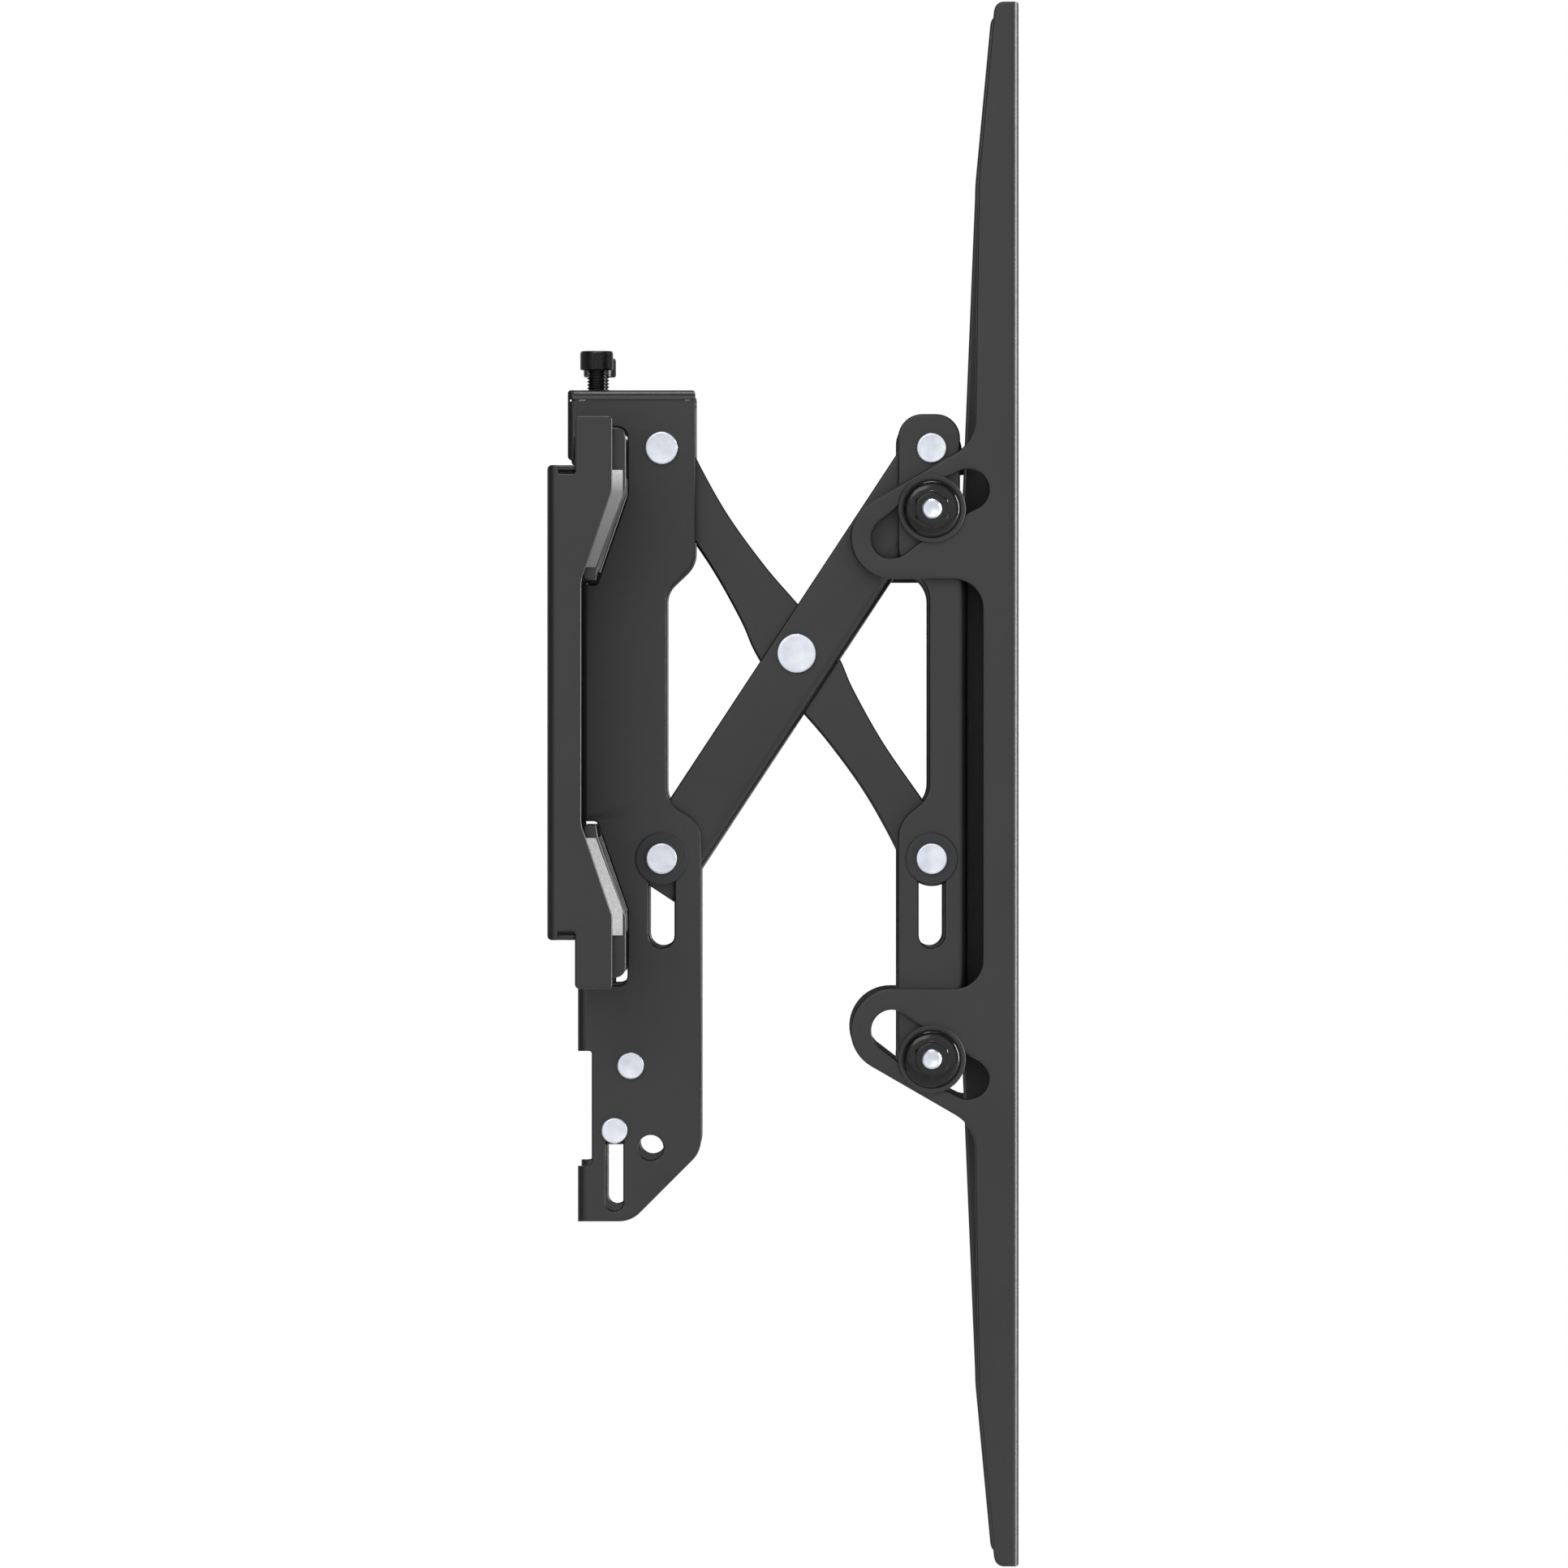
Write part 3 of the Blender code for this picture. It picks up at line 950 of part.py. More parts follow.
def make_module(tag, side, looks):
    """One arm with its bracket, scissor, front channel and rail; side is -1 or 1 along Y."""
    middle = side * ARM_SPACING / 2
    bracket = make_arm_bracket(tag, middle, side, looks["coat"])
    screw, nut, foot = make_levelling(tag, middle, looks)
    latch, latch_pin, latch_rivet, spring = make_latch(tag, middle, side, looks)
    straight, curved = make_arms(tag, middle, side, looks["coat"])
    pivots = make_pivots(tag, middle, side, looks)
    channel = make_front_channel(tag, middle, side, looks["coat"])
    rail = make_display_rail(tag, middle, side, looks["coat"])
    fasteners = make_tilt_fasteners(tag, middle, side, looks)

    def washers(part):
        return [pivots[f"{part}_washer_{where}"] for where in ("outer", "inner")]

    foot_frame = joint_frame(f"{tag}_foot_frame", (SCREW_X, middle, FLANGE_TOP_Z), [foot])
    joint_frame(f"{tag}_screw_frame", (SCREW_X, middle, SCREW_TIP_Z), [screw], foot_frame)
    bracket_frame = joint_frame(f"{tag}_bracket_frame", (SCREW_X, middle, BRACKET_TOP_Z),
                                [bracket, nut, latch_rivet, spring, pivots["top_rivet"]], foot_frame)
    joint_frame(f"{tag}_latch_frame", (LATCH_PIN[0], middle, LATCH_PIN[1]), [latch, latch_pin],
                bracket_frame)
    curved_frame = joint_frame(f"{tag}_curved_frame", (WALL_PIVOT_X, middle, PIVOT_TOP_Z), [
        *curved, pivots["centre_rivet"], pivots["centre_spacer"], pivots["front_slider_pin"],
        *washers("front_slider")], bracket_frame)
    straight_frame = joint_frame(f"{tag}_straight_frame", (CENTRE.x, middle, CENTRE.z), [
        straight, pivots["wall_slider_pin"], *washers("wall_slider")], curved_frame)
    front_frame = joint_frame(f"{tag}_front_frame", (FRONT_X, middle, PIVOT_TOP_Z),
                              [channel, pivots["front_rivet"], *fasteners], straight_frame)
    joint_frame(f"{tag}_tilt_frame", (TILT_AXIS_X, middle, TILT_MID_Z), [rail], front_frame)


def main():
    global PARTS, CUTTERS
    clear_scene()
    PARTS = new_collection("popout_wall_mount")
    CUTTERS = new_collection("cutters")
    looks = {"coat": material("black_powder_coat", (0.018, 0.018, 0.018), 0.0, 0.55),
             "zinc": material("satin_zinc", (0.62, 0.64, 0.68), 0.9, 0.35),
             "oxide": material("black_oxide", (0.02, 0.02, 0.021), 0.7, 0.25),
             "black_zinc": material("black_zinc", (0.015, 0.015, 0.016), 0.8, 0.2),
             "plastic": material("black_nylon", (0.02, 0.02, 0.024), 0.0, 0.5),
             "spring": material("spring_steel", (0.5, 0.5, 0.5), 1.0, 0.3)}
    make_wall_band(looks["coat"])
    for tag, side in (("left", -1), ("right", 1)):
        make_module(tag, side, looks)


main()
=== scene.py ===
"""Looks of a pop-out wall mount: folded black sheet steel on a scissor, with zinc rivets and screws."""
import json
import math

import bmesh
import bpy
from mathutils import Matrix, Vector


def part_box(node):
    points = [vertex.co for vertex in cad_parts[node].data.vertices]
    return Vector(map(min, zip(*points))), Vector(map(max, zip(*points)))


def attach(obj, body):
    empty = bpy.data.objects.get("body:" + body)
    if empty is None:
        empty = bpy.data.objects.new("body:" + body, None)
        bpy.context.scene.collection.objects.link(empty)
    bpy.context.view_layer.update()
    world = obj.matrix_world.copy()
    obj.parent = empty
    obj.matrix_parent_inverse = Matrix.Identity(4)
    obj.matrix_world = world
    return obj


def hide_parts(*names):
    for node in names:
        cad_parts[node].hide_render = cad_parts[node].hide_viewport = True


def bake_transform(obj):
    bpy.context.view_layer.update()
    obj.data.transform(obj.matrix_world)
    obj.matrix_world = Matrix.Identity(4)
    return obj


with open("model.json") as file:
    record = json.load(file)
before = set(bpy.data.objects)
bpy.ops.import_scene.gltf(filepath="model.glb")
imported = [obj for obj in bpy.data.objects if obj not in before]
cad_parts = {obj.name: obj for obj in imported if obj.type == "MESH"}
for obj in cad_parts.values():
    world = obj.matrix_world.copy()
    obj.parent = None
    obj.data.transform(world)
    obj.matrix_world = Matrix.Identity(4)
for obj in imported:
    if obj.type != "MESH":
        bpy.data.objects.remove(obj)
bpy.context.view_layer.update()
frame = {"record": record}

MM = 0.001
GAP = 0.3 * MM                  # running gap between pieces
SHEET = 2.0 * MM                # band, brackets, channels and rails
ARM_SHEET = 2.5 * MM
BEND = 3.0 * MM                 # outside radius of a fold
RIM = 0.6 * MM                  # how far a cut edge is rounded under the coating
FINE = math.radians(7)          # angle of one facet on a curved edge
SHORT = 0.45 * MM               # the shortest facet on a curved edge
ROUND = 64                      # facets round a turned piece
MERGE = 0.002 * MM              # vertices closer than this are one
NEAR = 0.1 * MM                 # how close an edge must be to a place to be picked by it
SQUARE = 0.9                    # least dot product of an edge or normal with the axis it runs along
BORE = 6.6 * MM                 # clearance for a 6 mm rivet or pin
CENTRE_BORE = 8.6 * MM
SLIDER_SLOT = 8 * MM            # width of the slots that the sliding pins run in
FAR = 0.5                       # past the end of every piece


def low(node):
    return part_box(node)[0]


def high(node):
    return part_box(node)[1]


def middle(node):
    return (low(node) + high(node)) / 2


# Places that every piece is set out from, read off the fixed frame.
ARM_Y = middle("left_arm_bracket").y
CHANNEL_U = (high("left_front_channel").y - low("left_front_channel").y) / 2
ARM_U = (high("left_straight_arm").y - low("left_straight_arm").y) / 2
CURVED_U = abs(low("left_curved_arm_outer").y - ARM_Y)
RAIL_U = (high("left_display_rail").y - low("left_display_rail").y) / 2
WALL_PIVOT = middle("left_top_rivet")
FRONT_PIVOT = middle("left_front_rivet")
WALL_SLIDER = middle("left_wall_slider_pin")
FRONT_SLIDER = middle("left_front_slider_pin")
CENTRE = middle("left_centre_rivet")
LATCH_PIN = middle("left_latch_pin")
LATCH_RIVET = middle("left_latch_rivet")
SCREW = middle("left_levelling_screw")
STUDS = (middle("left_tilt_bush_upper"), middle("left_tilt_bush_lower"))
RAIL_FACE_X = high("left_display_rail").x
RAIL_TOP_Z = high("left_display_rail").z
TILT_MID_Z = middle("left_display_rail").z
BAND_HALF = high("wall_band").y
EAR_TOP_Z = high("wall_band").z
RAIL_END_PROUD = 0.7 * MM       # how far the rails' end plates stand out past the rails' front
RAIL_FRONT_X = high("wall_band").x - RAIL_END_PROUD
FLANGE_Z = EAR_TOP_Z - 15 * MM  # the ears stand this far past the wall flange
PLATE_TOP_Z = high("left_arm_bracket").z


# ---------------- outlines in X-Z
def arc(centre, radius, start, end):
    sweep = abs(end - start)
    steps = max(3, min(math.ceil(sweep / FINE), math.ceil(sweep * radius / SHORT)))
    angles = [start + (end - start) * i / steps for i in range(steps + 1)]
    return [(centre[0] + radius * math.cos(a), centre[1] + radius * math.sin(a)) for a in angles]


def circle(centre, diameter):
    return arc(centre, diameter / 2, 0, 2 * math.pi)[:-1]


def slot(first, last, width):
    run = math.atan2(last[1] - first[1], last[0] - first[0])
    half = math.pi / 2
    return (arc(last, width / 2, run - half, run + half)
            + arc(first, width / 2, run + half, run + 3 * half))


def rounded(corners):
    """An outline from its corners: (x, z) is sharp, (x, z, radius) is rounded."""
    points = []
    for i, corner in enumerate(corners):
        here = Vector(corner[:2])
        radius = corner[2] if len(corner) > 2 else 0
        before = Vector(corners[i - 1][:2]) - here
        after = Vector(corners[(i + 1) % len(corners)][:2]) - here
        opening = before.angle(after)
        if radius == 0 or opening > math.radians(179):
            points.append(tuple(here))
            continue
        reach = min(radius / math.tan(opening / 2), 0.49 * before.length, 0.49 * after.length)
        radius = reach * math.tan(opening / 2)
        inward = (before.normalized() + after.normalized()).normalized()
        centre = here + inward * radius / math.sin(opening / 2)
        first = here + before.normalized() * reach - centre
        last = here + after.normalized() * reach - centre
        start = math.atan2(first.y, first.x)
        sweep = (math.atan2(last.y, last.x) - start + math.pi) % (2 * math.pi) - math.pi
        points += arc(centre, radius, start, start + sweep)
    return points


def smooth(stations, per_span=6):
    """A smooth line through a few stations."""
    line = [Vector(p) for p in stations]
    line = [2 * line[0] - line[1]] + line + [2 * line[-1] - line[-2]]
    points = []
    for a, b, c, d in zip(line, line[1:], line[2:], line[3:]):
        for i in range(per_span):
            t = i / per_span
            points.append(0.5 * (2 * b + (c - a) * t + (2 * a - 5 * b + 4 * c - d) * t * t
                                 + (3 * b - a - 3 * c + d) * t ** 3))
    points.append(line[-2])
    return [tuple(p) for p in points]


def mirrored(points, height):
    return [(p[0], 2 * height - p[1], *p[2:]) for p in reversed(points)]


def flat(spot):
    return (spot.x, spot.z)


# ---------------- modelling by hand
def select(*things):
    bpy.ops.object.select_all(action="DESELECT")
    for thing in things:
        thing.select_set(True)
    bpy.context.view_layer.objects.active = things[0]


def edit_all(piece):
    select(piece)
    bpy.ops.object.mode_set(mode="EDIT")
    bpy.ops.mesh.select_all(action="SELECT")


def join(piece, *others):
    select(piece, *others)
    bpy.ops.object.join()
    return piece


def add_object(name, data):
    made = bpy.data.objects.new(name, data)
    bpy.context.scene.collection.objects.link(made)
    return made


def settle(piece):
    """Puts a piece's place into its mesh."""
    select(piece)
    bpy.ops.object.transform_apply(location=True, rotation=True, scale=True)
    return piece


def clean(piece):
    edit_all(piece)
    bpy.ops.mesh.remove_doubles(threshold=MERGE)
    bpy.ops.mesh.normals_make_consistent(inside=False)
    bpy.ops.object.mode_set(mode="OBJECT")
    return piece


def apply(piece, kind, **settings):
    select(piece)
    step = piece.modifiers.new(kind.lower(), kind)
    for key, value in settings.items():
        setattr(step, key, value)
    bpy.ops.object.modifier_apply(modifier=step.name)
    return piece


def pick(piece, domain, test):
    """Selects faces or edges whose middle and normal pass a test, and goes into edit mode."""
    select(piece)
    bpy.ops.object.mode_set(mode="EDIT")
    bpy.ops.mesh.select_mode(type="FACE" if domain == "faces" else "EDGE")
    work = bmesh.from_edit_mesh(piece.data)
    bpy.ops.mesh.select_all(action="DESELECT")
    for part in getattr(work, domain):
        ends = [v.co for v in part.verts]
        where = sum(ends, Vector()) / len(ends)
        along = (ends[1] - ends[0]).normalized()
        part.select_set(test(where, part.normal if domain == "faces" else along))
    work.select_flush_mode()
    bmesh.update_edit_mesh(piece.data)


def done(piece):
    bpy.ops.object.mode_set(mode="OBJECT")
    return piece


def remove(piece):
    bpy.data.objects.remove(piece, do_unlink=True)


def boolean(piece, tool, how):
    apply(piece, "BOOLEAN", object=tool, operation=how, solver="EXACT")
    remove(tool)
    return piece


def unite(piece, *tools):
    for tool in tools:
        boolean(piece, tool, "UNION")
    return piece


def cut(piece, *tools):
    for tool in tools:
        boolean(piece, tool, "DIFFERENCE")
    return piece


def block(name, corner, opposite):
    size = Vector(opposite) - Vector(corner)
    bpy.ops.mesh.primitive_cube_add(size=1, location=(Vector(corner) + Vector(opposite)) / 2)
    piece = bpy.context.active_object
    piece.name = name
    piece.scale = size
    return settle(piece)


def cut_plate(name, outlines, ends, rim=RIM):
    """Sheet cut to flat outlines in X-Z between two Y places, with its rims eased."""
    line = bpy.data.curves.new(name, "CURVE")
    line.dimensions = "2D"
    line.fill_mode = "BOTH"
    line.extrude = abs(ends[1] - ends[0]) / 2 - rim
    line.bevel_depth = rim
    line.bevel_resolution = 2
    line.offset = -rim
    for outline in outlines:
        spline = line.splines.new("POLY")
        spline.points.add(len(outline) - 1)
        for point, (x, z) in zip(spline.points, outline):
            point.co = (x, z, 0, 1)
        spline.use_cyclic_u = True
    piece = add_object(name, line)
    select(piece)
    bpy.ops.object.convert(target="MESH")
    piece.rotation_euler = (math.pi / 2, 0, 0)
    piece.location = (0, sum(ends) / 2, 0)
    settle(piece)
    return clean(piece)


def upright_fold(x):
    return lambda at, along: abs(at.x - x) < NEAR and abs(along.z) > SQUARE


def top_fold(z):
    return lambda at, along: abs(at.z - z) < NEAR and abs(along.x) > SQUARE


def soft_block(name, corner, opposite, *bends):
    """A block with some edges rolled; each bend is a radius and a test on an edge's middle and run."""
    piece = block(name, corner, opposite)
    for radius, test in bends:
        pick(piece, "edges", test)
        bpy.ops.mesh.bevel(offset=radius, segments=9, affect="EDGES")
        done(piece)
    return piece


def keep_side(piece, spot, normal):
    """Cuts a closed piece at a plane and keeps the side its normal points to."""
    edit_all(piece)
    bpy.ops.mesh.bisect(plane_co=spot, plane_no=normal, use_fill=True, clear_inner=True)
    bpy.ops.object.mode_set(mode="OBJECT")
    return piece


def pressed(name, outlines, web_x, half_width, sheet=SHEET, bend=BEND, middle_y=ARM_Y, reach=0.2):
    """Folded sheet: cut to its side outline, rolled along its web at web_x, and hollow inside."""
    front = web_x + reach
    body = cut_plate(name, outlines, (middle_y - half_width, middle_y + half_width))
    inside = web_x + math.copysign(sheet, reach)
    hull = soft_block("hull", (min(web_x, front), middle_y - half_width, -0.8 * FAR),
                      (max(web_x, front), middle_y + half_width, 0.8 * FAR), (bend, upright_fold(web_x)))
    core = soft_block("core", (min(inside, front), middle_y - half_width + sheet, -FAR),
                      (max(inside, front), middle_y + half_width - sheet, FAR),
                      (bend - sheet, upright_fold(inside)))
    boolean(body, hull, "INTERSECT")
    return cut(body, core)


def channel(name, back, front, half_width, z_from, z_to, sheet=SHEET, bend=BEND):
    """A straight length of folded channel: its web at x = back and its legs reaching x = front."""
    piece = block(name, (min(back, front), ARM_Y - half_width, z_from),
                  (max(back, front), ARM_Y + half_width, z_to))
    pick(piece, "edges", upright_fold(back))
    bpy.ops.mesh.bevel(offset=bend, segments=8, affect="EDGES")
    done(piece)
    pick(piece, "faces", lambda at, normal: abs(normal.z) > SQUARE or abs(at.x - front) < NEAR)
    bpy.ops.mesh.delete(type="FACE")
    done(piece)
    return apply(piece, "SOLIDIFY", thickness=sheet, offset=-1, use_even_offset=True)


def trim(piece, outlines, spread):
    """Cuts a folded length to its side outline."""
    tool = cut_plate("trim", outlines, (ARM_Y - spread, ARM_Y + spread), rim=0)
    return boolean(piece, tool, "INTERSECT")


def ease(piece, width=RIM, angle=38):
    """Rounds the cut edges, as the coating leaves them."""
    edit_all(piece)
    bpy.ops.mesh.remove_doubles(threshold=0.01 * MM)
    bpy.ops.mesh.dissolve_limited(angle_limit=math.radians(1))
    bpy.ops.object.mode_set(mode="OBJECT")
    return apply(piece, "BEVEL", width=width, segments=3, limit_method="ANGLE",
                 angle_limit=math.radians(angle), miter_outer="MITER_ARC", use_clamp_overlap=True)


def spun(name, profile, place, steps=ROUND):
    """A turned piece: (radius, height) pairs down its outside, spun about local Z."""
    mesh = bpy.data.meshes.new(name)
    mesh.from_pydata([(r, 0, h) for r, h in profile], [(i, i + 1) for i in range(len(profile) - 1)], [])
    piece = add_object(name, mesh)
    edit_all(piece)
    bpy.ops.mesh.spin(steps=steps, angle=2 * math.pi, center=(0, 0, 0), axis=(0, 0, 1))
    bpy.ops.object.mode_set(mode="OBJECT")
    clean(piece)
    piece.matrix_world = place
    return settle(piece)


def plug(name, radius, bottom, top, place):
    """A turned solid that cuts a bore."""
    return spun(name, [(0, top), (radius, top), (radius, bottom), (0, bottom)], place)


def crosswise(spot):
    """Local Z points outboard from the arm's middle plane, towards -Y."""
    return Matrix.Translation((spot.x, ARM_Y, spot.z)) @ Matrix.Rotation(math.pi / 2, 4, "X")


def upright(spot):
    return Matrix.Translation((spot.x, ARM_Y, 0))


def round_end(radius, top, edge, steps=4):
    """The last part of a profile: a flat end with a rounded rim, from the axis outwards."""
    turn = [math.pi / 2 * (1 - i / steps) for i in range(steps + 1)]
    return [(0, top)] + [(radius - edge + edge * math.cos(a), top - edge + edge * math.sin(a)) for a in turn]


# ---------------- wall band
KNEE_Z = FLANGE_Z - 7 * MM      # where a rail turns inwards
LEG = (15 * MM, FLANGE_Z - 31.5 * MM)   # the free end of a rail
EAR_X = (8.5 * MM, 20 * MM)     # back and front of an ear
RELIEF_Z = FLANGE_Z - 2.7 * MM  # floor of the notch beside an ear
RAIL_INSET = 7 * MM             # how far the rails end inside the band's ends
SLOT_RUN, SLOT_WIDTH = 33 * MM, 9 * MM
SLOT_PITCH, SLOTS_A_ROW = 88 * MM, 6
HOOK_LIP_X = (8.5 * MM, 10.5 * MM)
LATCH_LIP_X = (18.1 * MM, 20.1 * MM)


def band_section():
    """Half the folded section: back sheet, flange, rail front and rail leg, outside then inside."""
    knee, leg = KNEE_Z, LEG
    outer = [(*leg, 0), (RAIL_FRONT_X, knee, BEND), (RAIL_FRONT_X, FLANGE_Z, BEND), (0, FLANGE_Z, BEND)]
    lean = Vector((RAIL_FRONT_X - leg[0], knee - leg[1])).normalized()
    across = Vector((-lean.y, lean.x)) * SHEET
    inner_knee = (RAIL_FRONT_X - SHEET, knee + SHEET * math.tan(math.atan2(lean.x, lean.y) / 2))
    inner = [(leg[0] + across.x, leg[1] + across.y, 0), (*inner_knee, BEND - SHEET),
             (RAIL_FRONT_X - SHEET, FLANGE_Z - SHEET, BEND - SHEET), (SHEET, FLANGE_Z - SHEET, BEND - SHEET)]
    return rounded(outer + mirrored(outer, 0) + [(x, -z, r) for x, z, r in inner] + inner[::-1])


def end_plate():
    back, front = EAR_X
    upper = [(0, FLANGE_Z, BEND), (3 * MM, FLANGE_Z), (3.4 * MM, RELIEF_Z), (back, RELIEF_Z, 0.8 * MM),
             (back, EAR_TOP_Z, 1.5 * MM), (front, EAR_TOP_Z, 1.2 * MM),
             (front, FLANGE_Z - 7.5 * MM, 6 * MM), (10.5 * MM, FLANGE_Z - 35.5 * MM, 8 * MM)]
    return rounded(upper + mirrored(upper, 0))


def rolled_end(side, row):
    """Where the rail's front turns into the end plate: a slanting face, extruded down the rail."""
    top = FLANGE_Z - 1.5 * MM
    straight = 7.4 * MM
    slanting = Vector((-8.3 * MM, LEG[1] + 0.1 * MM - top + straight))
    outer = side * (BAND_HALF - SHEET + 0.1 * MM)
    width, depth = 4.6 * MM, side * 4.4 * MM
    bpy.ops.mesh.primitive_plane_add(size=1, location=(0, 0, 0))
    piece = bpy.context.active_object
    piece.name = "rolled_end"
    select(piece)
    bpy.ops.object.mode_set(mode="EDIT")
    work = bmesh.from_edit_mesh(piece.data)
    corners = ((RAIL_FRONT_X - width, outer), (RAIL_FRONT_X - 0.3 * MM, outer - depth),
               (RAIL_FRONT_X - width, outer - depth / 2), (RAIL_FRONT_X - 1.5 * MM, outer - depth))
    for vertex, (x, y) in zip(work.verts, corners):
        vertex.co = (x, y, row * top)
    bmesh.update_edit_mesh(piece.data)
    bpy.ops.mesh.select_all(action="SELECT")
    for dx, dz in ((0, -straight), slanting):
        bpy.ops.mesh.extrude_region_move(TRANSFORM_OT_translate={"value": (dx, 0, row * dz)})
    bpy.ops.mesh.select_all(action="SELECT")
    bpy.ops.mesh.normals_make_consistent(inside=False)
    return done(piece)


def flange_end(side, row):
    """The rounded end of the wall flange, seen past the end plate's relief."""
    low_z, high_z = FLANGE_Z - 2.1 * MM, FLANGE_Z - 0.05 * MM
    outline = rounded([(1.2 * MM, row * low_z), (8.8 * MM, row * low_z), (8.8 * MM, row * high_z),
                       (1.2 * MM, row * high_z, MM)])
    outer = side * (BAND_HALF - 1.9 * MM)
    return cut_plate("flange_end", [outline], sorted((outer, outer - side * 8 * MM)), rim=0.95 * MM)


def rail_end(side):
    """The plate that closes the rails just inside the end plates."""
    back, front = 10.8 * MM, RAIL_FRONT_X + RAIL_END_PROUD
    top, bottom = FLANGE_Z + 11.5 * MM, FLANGE_Z - 35.5 * MM
    upper = [(back, bottom), (back, top), (front, top, 3.4 * MM), (front, KNEE_Z, MM),
             (LEG[0] + RAIL_END_PROUD, LEG[1], MM), (LEG[0], bottom)]
    outer = side * (BAND_HALF - 6.6 * MM)
    ends = sorted((outer, outer - side * 1.6 * MM))
    return [cut_plate("rail_end", [rounded([(x, row * z, *r) for x, z, *r in upper])], ends, rim=0.7 * MM)
            for row in (-1, 1)]


def make_band():
    """A pan with turned-up ends and ears, united with the folded rails that the brackets hang on."""
    inset = BAND_HALF - RAIL_INSET
    band = pressed("wall_band_sheet", [end_plate()], 0, BAND_HALF, middle_y=0)
    unite(band, cut_plate("rails", [band_section()], (-inset, inset), rim=0.9 * MM))
    hook_lip = block("hook_lip", (HOOK_LIP_X[0], -inset, FLANGE_Z - MM),
                     (HOOK_LIP_X[1], inset, FLANGE_Z + 9 * MM))
    latch_lip = block("latch_lip", (LATCH_LIP_X[0], -inset, -FLANGE_Z - 9.5 * MM),
                      (LATCH_LIP_X[1], inset, MM - FLANGE_Z))
    unite(band, hook_lip, latch_lip)
    for row in (-1, 1):
        for i in range(SLOTS_A_ROW):
            tool = cut_plate("wall_slot", [slot((0, -SLOT_RUN / 2), (0, SLOT_RUN / 2), SLOT_WIDTH)],
                             (-2 * SHEET, 2 * SHEET), rim=0)
            tool.rotation_euler = (math.pi / 2, math.pi / 2, 0)
            tool.location = (SHEET / 2, (i - (SLOTS_A_ROW - 1) / 2) * SLOT_PITCH, row * (FLANGE_Z - 25 * MM))
            cut(band, settle(tool))
    for side in (-1, 1):
        rolls = [rolled_end(side, row) for row in (-1, 1)]
        stubs = [flange_end(side, row) for row in (-1, 1)]
        join(band, *rolls, *stubs, *rail_end(side))
    return band


# ---------------- arm bracket
BRACKET = (low("left_arm_bracket"), high("left_arm_bracket"))
BACK_X = 9.25 * MM              # back of the bracket, below its hook
NOTCH_TOP = FLANGE_Z + 12 * MM
SIDE_TOP = PLATE_TOP_Z - 3 * MM
SEAM_Z = SIDE_TOP - 0.1 * MM    # the line where the folded top meets the side plates
SEAM = 0.35 * MM                # half the height of that line
RELIEFS = ((6.75 * MM, 8.25 * MM), (9.5 * MM, 11.5 * MM), (42.25 * MM, 43.75 * MM))
SLIDE_END = WALL_SLIDER.z - 23.5 * MM
LATCH_TRAVEL = 22 * MM          # length of the slots that the latch pin runs in
LOCK_HOLE = (LATCH_PIN.x + 11.2 * MM, LATCH_PIN.z - 5.25 * MM)


def bracket_side():
    """Side plate, from the hook behind the band's upper lip round to the top of its free edge."""
    hook_x = BRACKET[0].x
    foot = FLANGE_Z + MM
    wall_x = RAIL_FRONT_X + MM
    shelf = FLANGE_Z - 36.5 * MM
    lean = 8.5 / 24.5           # slope of the rails' legs
    leg_foot = 15 * MM + 1.75 * MM - 5 * MM * lean
    knee = FLANGE_Z - 7 * MM - 0.75 * MM / lean
    bottom = BRACKET[0].z
    window = (bottom + 52.5 * MM, bottom + 17 * MM)
    lower_x = 47.2 * MM
    return rounded([
        (hook_x, PLATE_TOP_Z, MM), (hook_x, foot + 1.5 * MM, 0.8 * MM), (hook_x + SHEET, foot, 0.8 * MM),
        (hook_x + SHEET + MM / 2, NOTCH_TOP, MM), (wall_x, NOTCH_TOP, 3.5 * MM), (wall_x, knee, MM),
        (leg_foot, shelf, MM), (BACK_X, shelf), (BACK_X, -shelf), (leg_foot, -shelf, MM), (wall_x, -knee, MM),
        (wall_x, -FLANGE_Z - 14 * MM, 3 * MM), (BACK_X, -FLANGE_Z - 14 * MM),
        (BACK_X, window[0]), (13.5 * MM, window[0], 0.8 * MM), (13.5 * MM, window[1], 2 * MM),
        (BACK_X, window[1]), (BACK_X, bottom), (lower_x - 21.5 * MM, bottom, 9 * MM),
        (lower_x, bottom + 21.5 * MM, 9 * MM), (lower_x, -37 * MM, 9 * MM), (36.5 * MM, -30.5 * MM, 8 * MM),
        (36.5 * MM, 35 * MM, 7 * MM), (45.4 * MM, 43.5 * MM, 9 * MM), (45.4 * MM, PLATE_TOP_Z, MM)])


